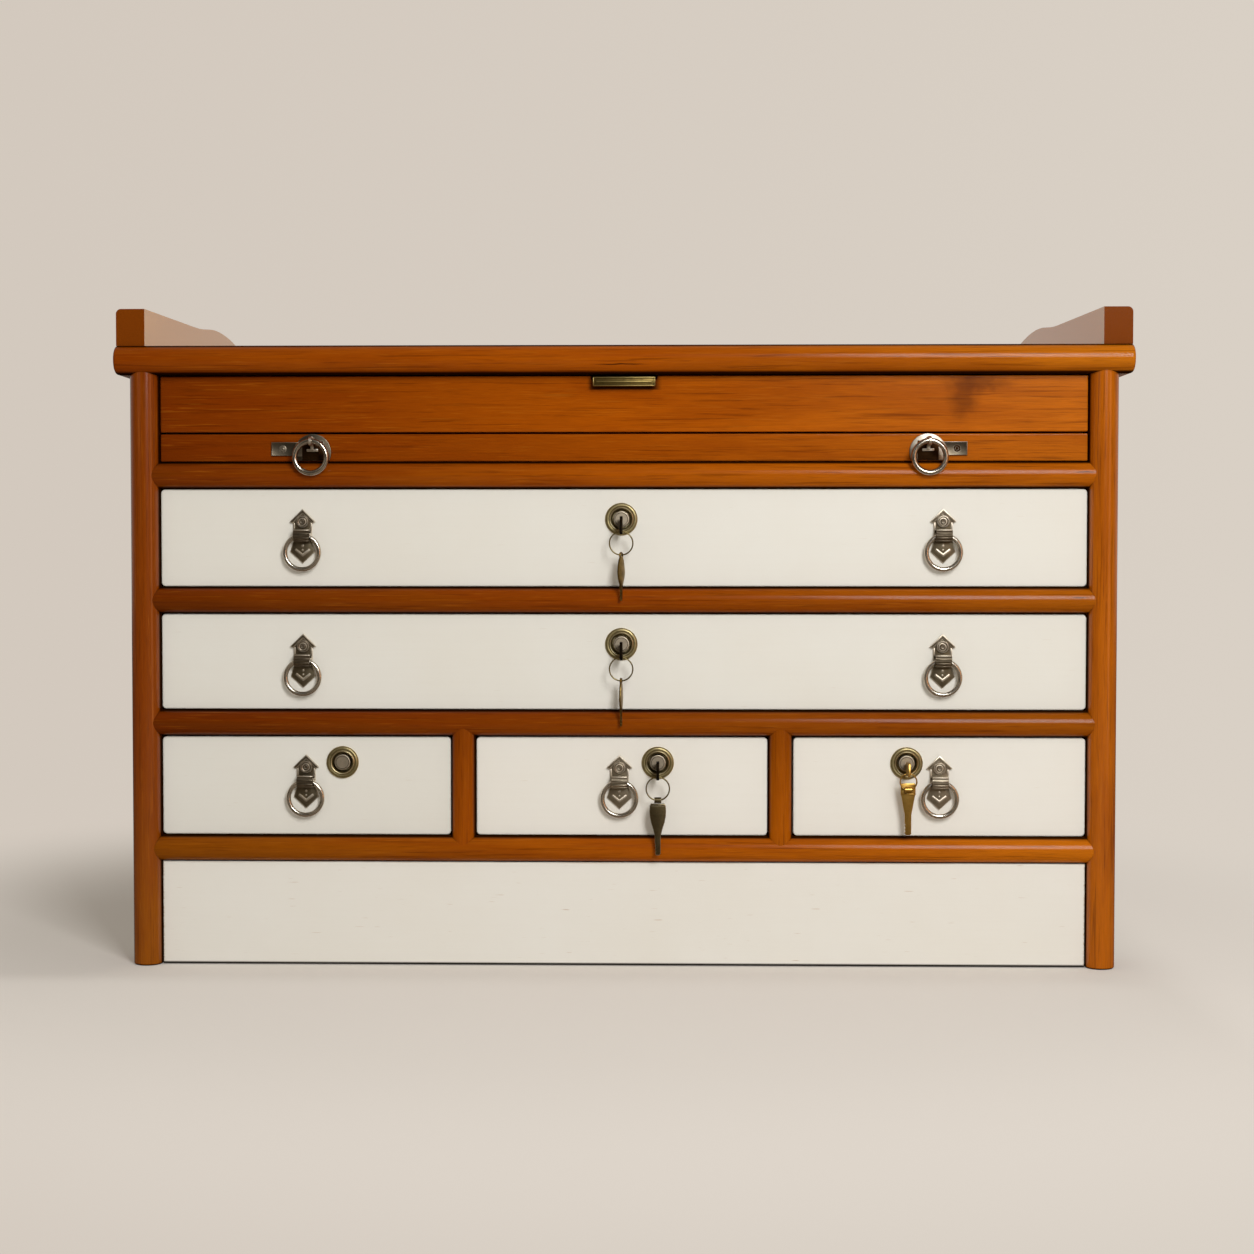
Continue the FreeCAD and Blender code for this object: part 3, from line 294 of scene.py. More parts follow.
@dataclass(frozen=True)
class VarnishedHardwood:
    """Brown-stained hardwood, planed and brushed with a glossy varnish.

    The eye gets long dark streaks along the grain, slow drifts of tone, a tone that darkens towards the left
    end and pales towards the right end as painted shade and light, and a smooth coat that mirrors the lights
    over a duller wood below.
    """

    # Painted shade and light: the left end tone is darker and the right end tone paler than the wood's own
    # tone
    left_tone_with_painted_shade: str = "#743002"
    middle: str = "#a44e03"
    right_tone_with_painted_light: str = "#bc6206"
    half_span_mm: float = 350.0
    drift: Pattern = Pattern(190.0, 24.0, 3.0, (0.42, 0.64), **FIGURED)
    streak: Pattern = Pattern(62.0, 1.5, 3.0, (0.53, 0.68), **FIGURED)
    dash: Pattern = Pattern(36.0, 1.1, 2.0, (0.57, 0.72), **FIGURED)
    fibre: Pattern = Pattern(14.0, 0.6, 2.0, (0.38, 0.64), **FIGURED)
    seed_steps: Point = (1.0, 1.7, 2.3)
    ember: str = "#7c2c00"
    ember_share: float = 0.42
    vein: str = "#521d00"
    vein_share: float = 0.52
    fibre_share: float = 0.16
    glow: str = "#cc7a1e"
    glow_share: float = 0.20
    contrast: float = 0.84
    dark_level: float = 205.0
    dark_reach: Flat = (108.0, 27.0)
    dark_share: float = 0.52
    foot_tone: str = ""
    foot_share: float = 0.55
    foot_height: Flat = (150.0, 40.0)
    foot_across: Flat = (60.0, -260.0)
    # Painted reflection: a pale tone on faces that turn in towards the middle, and the facings where it shows
    bleached: str = ""
    inward: Flat = (-0.1, -0.25)
    end_tone: str = "#6f330b"
    end_share: float = 0.78
    end_facing: Flat = (0.75, 0.95)
    # Painted shade: a dark tone on half-rounds' turned-away edges and in their crevices, where shade falls
    painted_shade: str = "#180800"
    painted_shade_share: float = 0.96
    seam_facing: Flat = (-0.66, -0.36)
    painted_shade_proud: Flat = (1.5, -0.3)
    flank_facing: Flat = (0.75, 0.5)
    crevice_mm: float = 1.8
    crevice_rays: int = 6
    crevice_light: Flat = (0.86, 0.52)
    stain_edge_mm: float = 9.0
    stain_detail: float = 4.0
    stain_rim: float = 1.2
    round_core: float = 0.2
    square_core: float = 0.9
    rough: Flat = (0.34, 0.46)
    relief: Relief = Relief(0.25, 0.15, sunk=True)
    coat_ior: float = 1.2
    coat_roughness: float = 0.17

    def material(self, name: str, grain: Grain, seed: float, stains: tuple[Stain, ...] = (),
                 banded: bool = False, half_round: bool = False) -> bpy.types.Material:
        """Make the finish for boards of one grain direction.

        Args:
            name: Name of the material.
            grain: Axis of the grain.
            seed: Shift of the pattern, so that no two boards match.
            stains: Dark blots on the board.
            banded: Whether the boards at half height were stained darker.
            half_round: Whether the board is a half-round with painted shade at its edges and crevices.

        Returns:
            The material.
        """
        made, recipe = new_material(name)
        place = recipe.place()
        parts = recipe.split(place)
        shift = tuple(seed * step for step in self.seed_steps)
        drift, streak, dash, fibre = (
            recipe.figure(place, grain, pattern, shift)
            for pattern in (self.drift, self.streak, self.dash, self.fibre))
        # Painted light and shade: the tone fades from the darker left end to the paler right end
        colour = self.left_tone_with_painted_shade
        for start, tone in ((-self.half_span_mm, self.middle), (0.0, self.right_tone_with_painted_light)):
            fade = recipe.ramp(parts["X"], metres(start, start + self.half_span_mm))
            colour = recipe.mix(fade, colour, tone)
        if banded:
            colour = self.darkened(recipe, parts["Z"], colour)
        if self.foot_tone:
            colour = self.footed(recipe, parts, colour)
        for mask, share, tone in (
            (drift, self.ember_share, self.ember), (fibre, self.fibre_share, self.vein),
            (streak, self.vein_share, self.vein), (dash, self.glow_share, self.glow),
        ):
            colour = recipe.tint(mask, share * self.contrast, colour, tone)
        # Painted reflection: faces that turn in towards the middle take a pale tone, for the bright backdrop
        # mirrored at a grazing angle
        if self.bleached:
            outward = recipe.calc("MULTIPLY", recipe.facing()["X"], parts["X"])
            colour = recipe.mix(recipe.ramp(outward, self.inward), colour, self.bleached)
        colour, gloss = self.ended(recipe, grain, colour)
        # Painted shade on the half-round's turned-away edges and in its crevices
        if half_round:
            colour, gloss = self.painted_edge_shade(recipe, grain, parts["Y"], colour, gloss)
        for stain in stains:
            colour = self.stained(recipe, place, colour, stain)
        recipe.surface({
            "Base Color": colour, "Roughness": recipe.ramp(drift, to=self.rough), "Specular IOR Level": 0.0,
            "Coat Weight": gloss, "Coat Roughness": self.coat_roughness, "Coat IOR": self.coat_ior},
            recipe.calc("ADD", streak, fibre), self.relief)
        return made

    def darkened(self, recipe: Recipe, height: Socket, colour: Tone) -> Socket:
        """Darken the boards near half height, which took more of the stain.

        Args:
            recipe: Shader of the material.
            height: Height of the point.
            colour: Colour of the wood so far.

        Returns:
            Colour of the wood with the darker boards.
        """
        distance = recipe.calc("ABSOLUTE", recipe.calc("SUBTRACT", height, self.dark_level * MM))
        deep = recipe.ramp(distance, metres(*self.dark_reach), (0.0, self.dark_share))
        return recipe.mix(deep, colour, self.vein)

    def footed(self, recipe: Recipe, parts: dict[str, Socket], colour: Tone) -> Socket:
        """Turn the wood to ochre low on the left, where it has faded.

        Args:
            recipe: Shader of the material.
            parts: Place of the point, by axis.
            colour: Colour of the wood so far.

        Returns:
            Colour of the wood with the faded foot.
        """
        low = recipe.ramp(parts["Z"], metres(*self.foot_height))
        left = recipe.ramp(parts["X"], metres(*self.foot_across))
        return recipe.tint(recipe.calc("MULTIPLY", low, left), self.foot_share, colour, self.foot_tone)

    def ended(self, recipe: Recipe, grain: Grain, colour: Tone) -> tuple[Socket, Socket]:
        """Darken and dull the end grain, which drinks the stain and the varnish.

        Args:
            recipe: Shader of the material.
            grain: Axis of the grain.
            colour: Colour of the wood so far.

        Returns:
            Colour of the wood with dark ends, and the share of the gloss that is left.
        """
        along = recipe.calc("ABSOLUTE", recipe.facing()[grain.value])
        end = recipe.ramp(along, self.end_facing, (0.0, self.end_share))
        return recipe.mix(end, colour, self.end_tone), recipe.calc("SUBTRACT", 1.0, end)

    def painted_edge_shade(self, recipe: Recipe, grain: Grain, depth: Socket, colour: Tone,
               gloss: Socket) -> tuple[Socket, Socket]:
        """Paint shade on a half-round's turned-away edges and in its crevices, and dull their gloss there.

        Args:
            recipe: Shader of the material.
            grain: Axis of the grain, whose ends stay clean.
            depth: Place of the point from front to back.
            colour: Colour of the wood so far.
            gloss: Share of the gloss so far.

        Returns:
            Colour of the wood with painted shade at its edges and crevices, and the share of the gloss that
            is left.
        """
        facing = recipe.facing()
        turned = recipe.ramp(facing["Y"], self.seam_facing, smooth=True)
        proud = recipe.ramp(depth, metres(*(FACE_Y + step for step in self.painted_shade_proud)))
        flank = recipe.ramp(recipe.calc("ABSOLUTE", facing[grain.value]), self.flank_facing)
        edge = recipe.calc("MULTIPLY", turned, recipe.calc("MULTIPLY", proud, flank))
        crevice = recipe.ramp(recipe.nearby(self.crevice_mm, self.crevice_rays), self.crevice_light)
        # Painted shade mask: turned-away edges and occluded crevices
        seam = recipe.calc("MAXIMUM", edge, crevice)
        left = recipe.calc("MULTIPLY", gloss, recipe.calc("SUBTRACT", 1.0, seam))
        return recipe.tint(seam, self.painted_shade_share, colour, self.painted_shade), left

    def stained(self, recipe: Recipe, place: Socket, colour: Tone, stain: Stain) -> Socket:
        """Darken the wood in a ragged blot.

        Args:
            recipe: Shader of the material.
            place: Place of the point.
            colour: Colour of the wood so far.
            stain: The blot.

        Returns:
            Colour of the wood with the blot.
        """
        noise = recipe.add("TexNoise", {
            "Vector": place, "Scale": 1.0 / (self.stain_edge_mm * MM), "Detail": self.stain_detail})
        shaken = recipe.vector("SUBTRACT", noise.outputs["Color"], NOISE_MIDDLE)
        moved = recipe.vector("MULTIPLY_ADD", shaken, (stain.ragged * MM,) * 3, place)
        centred = recipe.add("Mapping", {
            "Vector": moved, "Scale": (1.0 / (stain.half_width * MM), 0.0, 1.0 / (stain.half_height * MM)),
            "Location": (-stain.x / stain.half_width, 0.0, -stain.z / stain.half_height)}).outputs["Vector"]
        if stain.square:
            sides = recipe.split(recipe.vector("ABSOLUTE", centred))
            far = recipe.calc("MAXIMUM", sides["X"], sides["Z"])
        else:
            far = recipe.vector("LENGTH", centred)
        core = self.square_core if stain.square else self.round_core
        blot = recipe.ramp(far, (self.stain_rim, core), (0.0, stain.strength), smooth=True)
        return recipe.mix(blot, colour, stain.tone)


@dataclass(frozen=True)
class PaintedWood:
    """Cream oil paint brushed on planed boards, gone satin with age.

    The eye gets a near-even cream with faint raised grain, a few hairline scuffs, and tan wood
    showing where the paint has rubbed off along the edges.
    """

    paint: str = "#ece9e0"
    aged: str = "#e7e2d6"
    aged_share: float = 0.5
    bared: str = "#b58d5c"
    line_share: float = 0.012
    # Painted shadow: the dark tone and height of a line along a board's foot, for the contact shadow on the
    # floor
    painted_shade: str = "#1c120a"
    foot_shadow_mm: float = 0.0
    drift: Pattern = Pattern(90.0, 90.0, 3.0, (0.3, 0.7), roughness=0.55)
    lines: Pattern = Pattern(70.0, 1.4, 4.0, (0.4, 0.7), roughness=0.55)
    scuff: Pattern = Pattern(16.0, 0.7, 1.0, (0.74, 0.82), roughness=0.55)
    edge_mm: float = 1.6
    edge_sum: Flat = (1.05, 1.9)
    rough: Flat = (0.40, 0.52)
    relief: Relief = Relief(0.06, 0.1, sunk=True)
    gloss: float = 0.4

    def material(self, name: str, node: str, grain: Grain, wear: float) -> bpy.types.Material:
        """Make the finish for one painted board.

        Args:
            name: Name of the material.
            node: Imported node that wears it, for the place of its edges.
            grain: Axis of the grain below the paint.
            wear: How much of the edges is bare, from 0 to 1.

        Returns:
            The material.
        """
        made, recipe = new_material(name)
        low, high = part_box(node)
        middle = tuple((low + high) / 2)
        place = recipe.place()
        drift, lines, scuff = (
            recipe.figure(place, grain, pattern, middle) for pattern in (self.drift, self.lines, self.scuff))
        sides = recipe.split(recipe.vector("ABSOLUTE", recipe.vector("SUBTRACT", place, middle)))
        near = [
            recipe.ramp(sides[axis], (reach - self.edge_mm * MM, reach), smooth=True)
            for axis, reach in zip(AXES, (high - low) / 2)]
        total = recipe.calc("ADD", recipe.calc("ADD", near[0], near[1]), near[2])
        broken = recipe.calc("MULTIPLY", recipe.ramp(total, self.edge_sum), lines)
        colour = recipe.tint(drift, self.aged_share, self.paint, self.aged)
        colour = recipe.tint(lines, self.line_share, colour, self.bared)
        colour = recipe.tint(recipe.calc("MAXIMUM", broken, scuff), wear, colour, self.bared)
        # Painted shadow: darken the foot of the board, as the contact shadow where it meets the floor
        if self.foot_shadow_mm:
            foot = (low.z + self.foot_shadow_mm * MM, low.z + self.foot_shadow_mm / 2 * MM)
            colour = recipe.mix(recipe.ramp(recipe.split(place)["Z"], foot), colour, self.painted_shade)
        recipe.surface({
            "Base Color": colour, "Roughness": recipe.ramp(drift, to=self.rough),
            "Specular IOR Level": self.gloss}, lines, self.relief)
        return made


@dataclass(frozen=True)
class BareSoftwood:
    """Planed softwood without varnish, as drawer boxes and dust boards are made of.

    The eye gets pale bands of early wood with narrow brown late wood, and a dull dry surface.
    """

    early: str = "#cfa873"
    late: str = "#a3743f"
    band: Pattern = Pattern(320.0, 6.0, 3.0, (0.45, 0.7), distortion=0.6)
    band_share: float = 0.6
    fibre: Pattern = Pattern(30.0, 0.9, 3.0, (0.3, 0.7), distortion=0.6)
    fibre_share: float = 0.22
    seed_steps: Point = (1.0, 1.3, 1.9)
    rough: Flat = (0.55, 0.7)
    relief: Relief = Relief(0.3, 0.2)

    def sided(self, recipe: Recipe, place: Socket, sides: Flat) -> Socket:
        """Turn the pattern on a box's side boards, so that their grain runs from front to back.

        Args:
            recipe: Shader of the material.
            place: Place of the point.
            sides: Middle of the box and the distance from it at which its sides start, in mm.

        Returns:
            Place of the point with two axes swapped on the sides.
        """
        parts = recipe.split(place)
        swapped = recipe.add("CombineXYZ", {"X": parts["Y"], "Y": parts["X"], "Z": parts["Z"]})
        middle, start = metres(*sides)
        reach = recipe.calc("ABSOLUTE", recipe.calc("SUBTRACT", parts["X"], middle))
        return recipe.mix(recipe.calc("GREATER_THAN", reach, start), place, swapped.outputs["Vector"])

    def material(self, name: str, grain: Grain, seed: float, sides: Flat | None = None) -> bpy.types.Material:
        """Make the finish for boards of one grain direction.

        Args:
            name: Name of the material.
            grain: Axis of the grain.
            seed: Shift of the pattern.
            sides: Middle of a box and where its side boards start, or None for plain boards.

        Returns:
            The material.
        """
        made, recipe = new_material(name)
        place = recipe.place()
        if sides:
            place = self.sided(recipe, place, sides)
        shift = tuple(seed * step for step in self.seed_steps)
        band, fibre = (recipe.figure(place, grain, pattern, shift) for pattern in (self.band, self.fibre))
        colour = recipe.tint(band, self.band_share, self.early, self.late)
        colour = recipe.tint(fibre, self.fibre_share, colour, self.late)
        recipe.surface(
            {"Base Color": colour, "Roughness": recipe.ramp(band, to=self.rough)}, fibre, self.relief)
        return made


@dataclass(frozen=True)
class AgedMetal:
    """Cast or stamped metal that has been handled for years.

    The eye gets a bright tone on what fingers rub, a dark tarnish in the hollows, and a gloss that
    is broken by cloudy patches and fine scratches.
    """

    bright: str
    tarnish: str
    roughness: float
    patina: float
    rubbed: str = ""
    cloud: Pattern = Pattern(5.0, 5.0, 4.0, (0.38, 0.7), roughness=0.6)
    scratch_mm: Flat = (3.0, 0.16)
    scratch_tilt: float = 0.5
    scratch_detail: float = 2.0
    hollow_mm: float = 1.4
    hollow_rays: int = 6
    hollow_light: Flat = (0.95, 0.45)
    hollow_share: float = 0.9
    edge_mm: float = 0.9
    edge_rays: int = 8
    edge_light: Flat = (0.97, 0.7)
    dulled: float = 0.22
    relief: Relief = Relief(0.12, 0.012)

    def material(self, name: str) -> bpy.types.Material:
        """Make the finish.

        Args:
            name: Name of the material.

        Returns:
            The material.
        """
        made, recipe = new_material(name)
        place = recipe.place()
        cloudy = recipe.calc("MULTIPLY", recipe.figure(place, Grain.ALONG_X, self.cloud), self.patina)
        hollow = recipe.nearby(self.hollow_mm, self.hollow_rays, only_local=True)
        sunk = recipe.ramp(hollow, self.hollow_light, (0.0, self.hollow_share))
        dark = recipe.calc("MAXIMUM", cloudy, sunk)
        colour = recipe.mix(dark, self.bright, self.tarnish)
        if self.rubbed:
            edge = recipe.nearby(self.edge_mm, self.edge_rays, only_local=True, inside=True)
            colour = recipe.mix(recipe.ramp(edge, self.edge_light), colour, self.rubbed)
        spread = recipe.add("Mapping", {
            "Vector": place, "Rotation": (0.0, self.scratch_tilt, 0.0),
            "Scale": Grain.ALONG_X.stretch(*self.scratch_mm)})
        scratch = recipe.add("TexNoise", {
            "Vector": spread.outputs["Vector"], "Scale": 1.0, "Detail": self.scratch_detail})
        rough = recipe.ramp(dark, to=(self.roughness, self.roughness + self.dulled))
        recipe.surface(
            {"Base Color": colour, "Metallic": 1.0, "Roughness": rough}, scratch.outputs["Fac"], self.relief)
        return made


PULL_GROUND = AgedMetal("#80755f", "#231d14", 0.40, 0.45, "#cfc5b2", hollow_mm=0.6)
PULL_RAISED = AgedMetal("#6f6554", "#2a241b", 0.38, 0.40, "#ccc2b0", hollow_mm=0.6)
PULL_STRAP = AgedMetal("#7d7260", "#231d15", 0.34, 0.45, hollow_mm=0.7)
WORN_GROUND = replace(PULL_GROUND, bright="#a69b86", tarnish="#352d21")
WORN_RAISED = replace(PULL_RAISED, bright="#958a76", tarnish="#3a3226", rubbed="#dcd2c0")
WORN_STRAP = replace(PULL_STRAP, bright="#a89d89", tarnish="#352e23")
RING_NICKEL = AgedMetal("#d6cec0", "#4a4338", 0.20, 0.26)
SLIDE_NICKEL = AgedMetal("#c4bbad", "#463e32", 0.18, 0.28)
SLIDE_DARK = AgedMetal("#5c5345", "#221c14", 0.36, 0.45, "#8f8575", hollow_mm=0.9, edge_mm=0.6)
# Painted light: a paler copy of the slide's plate nickel, for the right plate that is lit more
SLIDE_PAINTED_LIGHT = AgedMetal("#b4ab9b", "#332c22", 0.38, 0.35, hollow_mm=0.9)
SLIDE_PIN = AgedMetal("#ece4d6", "#7d7362", 0.36, 0.20, hollow_mm=0.4)
# Painted shade: near-black for the block behind each lug and the right screw head, where shade falls
SLIDE_PAINTED_SHADE = AgedMetal("#3a2614", "#140a04", 0.60, 0.50)
LOCK_BRASS = AgedMetal("#a4966a", "#332a1b", 0.38, 0.45, "#e6d9b0", hollow_mm=0.5)
PLUG_NICKEL = AgedMetal("#b9ad98", "#3a332a", 0.46, 0.30, hollow_mm=0.4)
KEY_BLACKENED = AgedMetal("#1a130b", "#080503", 0.50, 0.60)
KEY_GREYED = AgedMetal("#695d42", "#2c2415", 0.36, 0.45, "#cfc3a5", hollow_mm=0.5, edge_mm=0.5)
KEY_BRONZE = AgedMetal("#8a713e", "#32260f", 0.32, 0.50)
KEY_GOLD = AgedMetal("#c9a052", "#6a4c1c", 0.28, 0.35)
KEY_RING_STEEL = AgedMetal("#86774c", "#2c2412", 0.26, 0.45)
EDGE_PULL_BRASS = AgedMetal("#6b5a30", "#1c1407", 0.36, 0.60)
EDGE_RIM_BRASS = AgedMetal("#a8945a", "#4a3c1c", 0.38, 0.30, hollow_mm=0.5)


def middle_mm(node: str) -> Vector:
    """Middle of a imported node's box, in millimetres."""
    low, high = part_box(node)
    return (low + high) / 2 / MM


def wire_ends(ring: str) -> Flat:
    """Heights of the middle of a packed ring's wire, at the ring's foot and at its top."""
    low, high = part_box(ring)
    wire = (high.y - low.y) / 2 / MM
    return low.z / MM + wire, high.z / MM - wire


def moved(outline: list[Flat] | tuple, x: float, z: float) -> list[Flat]:
    """Move an outline in X and Z."""
    return [(x + u, z + v) for u, v in outline]


def mirrored(half: list[Flat] | tuple) -> list[Flat]:
    """The left half of an outline, whose right half runs from its top down."""
    return [(-u, v) for u, v in reversed(half)]


def on_plane(item: bmesh.types.BMEdge | bmesh.types.BMFace, y: float) -> bool:
    """Whether an edge or a face lies in a plane that faces the front."""
    return all(abs(corner.co.y - y) < JOIN_DISTANCE for corner in item.verts)


def soften(part: bmesh.types.BMesh, edges: list, rim: float) -> None:
    """Round some edges of a part."""
    bmesh.ops.bevel(
        part, geom=edges, offset=rim, segments=BEVEL_STEPS, profile=0.5, affect="EDGES", material=-1)


def disc(part: bmesh.types.BMesh, centre: Point, radius: float, facets: int, filled: bool = True) -> list:
    """Draw a circle that faces the front.

    Args:
        part: Part that takes it.
        centre: Its middle.
        radius: Its radius.
        facets: Number of its corners.
        filled: Whether it gets a face.

    Returns:
        Its edges.
    """
    place = Matrix.Translation(centre) @ Matrix.Rotation(QUARTER_TURN, 4, "X")
    made = bmesh.ops.create_circle(part, cap_ends=filled, segments=facets, radius=radius, matrix=place)
    return list(dict.fromkeys(edge for corner in made["verts"] for edge in corner.link_edges))


def thicken(part: bmesh.types.BMesh, depth: float) -> None:
    """Extrude all faces of a flat part from front to back, or forwards if the depth is negative."""
    made = bmesh.ops.extrude_face_region(part, geom=part.faces[:])
    lifted = [corner for corner in made["geom"] if isinstance(corner, bmesh.types.BMVert)]
    bmesh.ops.translate(part, verts=lifted, vec=(0.0, depth, 0.0))


class Form:
    """One new piece in the making, drawn in millimetres in the chest's own frame."""

    def __init__(self, name: str) -> None:
        """Start an empty piece.

        Args:
            name: Name of the finished piece.
        """
        self.name = name
        self.mesh = bmesh.new()
        self.tone = 0

    def take(self, part: bmesh.types.BMesh, turn: Matrix | None = None) -> None:
        """Move one closed part into the piece.

        Args:
            part: The part, which is used up.
            turn: Where to put the part, if it isn't drawn in place.
        """
        if turn is not None:
            bmesh.ops.transform(part, matrix=turn, verts=part.verts)
        bmesh.ops.recalc_face_normals(part, faces=part.faces)
        for face in part.faces:
            face.material_index = int(self.tone)
        carrier = bpy.data.meshes.new("carrier")
        part.to_mesh(carrier)
        part.free()
        self.mesh.from_mesh(carrier)
        bpy.data.meshes.remove(carrier)

    def plate(self, outline: list[Flat], y0: float, y1: float, rim: float = 0.0, hole: Point | None = None,
              sunk: Flat | None = None, turn: Matrix | None = None) -> None:
        """Cut a flat outline in X and Z from sheet, with a rounded front rim.

        Args:
            outline: Corners in X and Z.
            y0: Plane of the back.
            y1: Plane of the front.
            rim: Rounding of the front edge, or of both edges for a turned plate.
            hole: X, Z and radius of a round hole, if there is one.
            sunk: Margin and depth of a sunk field, if there is one.
            turn: Where to put the plate, if it isn't drawn in place.
        """
        part = bmesh.new()
        corners = [part.verts.new((x, y0, z)) for x, z in outline]
        edges = [part.edges.new(pair) for pair in zip(corners, corners[1:] + corners[:1])]
        if hole:
            edges += disc(part, (hole[0], y0, hole[1]), hole[2], facets=28, filled=False)
            bmesh.ops.triangle_fill(part, use_beauty=True, edges=edges)
        else:
            part.faces.new(corners)
        thicken(part, y1 - y0)
        bmesh.ops.recalc_face_normals(part, faces=part.faces)
        planes = (y1,) if turn is None else (y0, y1)
        if rim:
            soften(part, [
                edge for edge in part.edges
                if any(on_plane(edge, y) for y in planes)
                and len(edge.link_faces) == 2 and edge.calc_face_angle() > SHARP_ANGLE], rim)
        if sunk:
            margin, depth = sunk
            front = [face for face in part.faces if on_plane(face, y1)]
            bmesh.ops.inset_region(part, faces=front, thickness=margin, depth=-depth, use_even_offset=True)
        self.take(part, turn)

    def turned(self, profile: list[Flat], centre: Point, axis: str = "Y", steps: int = 48,
               turn: Matrix | None = None) -> None:
        """Turn a profile about an axis, as on a lathe.

        Args:
            profile: Radius and place along the axis of each point. A last point that is equal to
                the first closes the profile.
            centre: A point on the axis.
            axis: Y for a form that faces the front, X for a roll or a loop.
            steps: Facets round the turn.
            turn: Where to put the form, if it isn't drawn in place.
        """
        part = bmesh.new()
        closed = profile[0] == profile[-1]
        points = profile[:-1] if closed else profile
        if axis == "Y":
            spots = [(centre[0] + radius, along, centre[2]) for radius, along in points]
            pole = (0.0, 1.0, 0.0)
        else:
            spots = [(along, centre[1], centre[2] + radius) for radius, along in points]
            pole = (1.0, 0.0, 0.0)
        verts = [part.verts.new(spot) for spot in spots]
        pairs = list(zip(verts, verts[1:])) + ([(verts[-1], verts[0])] if closed else [])
        edges = [part.edges.new(pair) for pair in pairs]
        bmesh.ops.spin(
            part, geom=verts + edges, cent=centre, axis=pole, angle=FULL_TURN, steps=steps, use_merge=True)
        bmesh.ops.remove_doubles(part, verts=part.verts, dist=JOIN_DISTANCE)
        bmesh.ops.dissolve_degenerate(part, dist=JOIN_DISTANCE, edges=part.edges)
        self.take(part, turn)

    def roll(self, bore: float, radius: float, half: float, rim: float, centre: Point, steps: int) -> None:
        """A short tube that lies across the chest, with softened outer rims.

        Args:
            bore: Inner radius.
            radius: Outer radius.
            half: Half of its length.
            rim: Chamfer of its rims.
            centre: Its middle.
            steps: Facets round it.
        """
        left, right = centre[0] - half, centre[0] + half
        profile = [
            (bore, left), (radius - rim, left), (radius, left + rim), (radius, right - rim),
            (radius - rim, right), (bore, right), (bore, left)]
        self.turned(profile, centre, "X", steps)

    def rod(self, radius: float, start: Point, end: Point, rim: float = 0.0, sides: int = 32) -> None:
        """A bar between two points, with rounded ends.

        Args:
            radius: Radius over the corners.
            start: Middle of the first end.
            end: Middle of the second end.
            rim: Rounding of the end edges.
            sides: Facets, such as six for a nut.
        """
        part = bmesh.new()
        run = Vector(end) - Vector(start)
        heading = run.to_track_quat("Z", "Y").to_matrix().to_4x4()
        bmesh.ops.create_cone(
            part, cap_ends=True, segments=sides, radius1=radius, radius2=radius, depth=run.length)
        if rim:
            ends = [
                edge for edge in part.edges
                if abs(edge.verts[0].co.z - edge.verts[1].co.z) < JOIN_DISTANCE]
            soften(part, ends, rim)
        self.take(part, Matrix.Translation((Vector(start) + Vector(end)) / 2) @ heading)

    def block(self, low: Point, high: Point, rim: float) -> None:
        """A box with rounded edges.

        Args:
            low: Lowest corner.
            high: Highest corner.
            rim: Rounding of every edge.
        """
        part = bmesh.new()
        size = Vector(high) - Vector(low)
        place = Matrix.Translation((Vector(low) + Vector(high)) / 2) @ Matrix.Diagonal((*size, 1.0))
        bmesh.ops.create_cube(part, size=1.0, matrix=place)
        soften(part, part.edges[:], rim)
        self.take(part)

    def finish(self, body: str, materials: list[bpy.types.Material], slot: str, *nodes: str) -> None:
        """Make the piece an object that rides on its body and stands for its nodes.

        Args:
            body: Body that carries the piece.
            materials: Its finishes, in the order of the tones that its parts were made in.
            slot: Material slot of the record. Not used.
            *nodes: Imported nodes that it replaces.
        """
        bmesh.ops.scale(self.mesh, vec=(MM, MM, MM), verts=self.mesh.verts)
        data = bpy.data.meshes.new(self.name)
        self.mesh.to_mesh(data)
        self.mesh.free()
        data.shade_smooth()
        data.set_sharp_from_angle(angle=SHARP_ANGLE)
        for material in materials:
            data.materials.append(material)
        piece = bpy.data.objects.new(self.name, data)
        bpy.context.scene.collection.objects.link(piece)
        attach(piece, body)
        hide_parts(*nodes)
        log.info("%s: %d faces on %s, for %s", self.name, len(data.polygons), body, nodes)


def dress(node: str, material: bpy.types.Material, round_mm: float = 0.0) -> None:
    """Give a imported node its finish, and soft edges if its boards were left sharp.

    Args:
        node: Name of the node.
        material: Its finish.
        round_mm: Rounding of sharp board edges, or none.
    """
    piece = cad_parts[node]
    piece.data.materials.clear()
    piece.data.materials.append(material)
    if round_mm:
        weld = piece.modifiers.new("joined_corners", "WELD")
        weld.merge_threshold = JOIN_DISTANCE * MM
        bevel = piece.modifiers.new("soft_edges", "BEVEL")
        bevel.width = round_mm * MM
        bevel.segments = BEVEL_STEPS
        bevel.limit_method = "ANGLE"
        bevel.harden_normals = False
    log.info("%s dressed in %s", node, material.name)


@dataclass(frozen=True)
class Board:
    """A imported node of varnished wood: its grain, its pattern's shift, its finish and its marks."""

    node: str
    grain: Grain
    seed: float
    wood: VarnishedHardwood
    stains: tuple[Stain, ...] = ()
    banded: bool = False
    half_round: bool = False
    round_mm: float = 0.0

    def dress(self) -> None:
        """Give the node its finish."""
        finish = self.wood.material(
            "varnished_hardwood_" + self.node, self.grain, self.seed, self.stains, self.banded,
            self.half_round)
        dress(self.node, finish, self.round_mm)


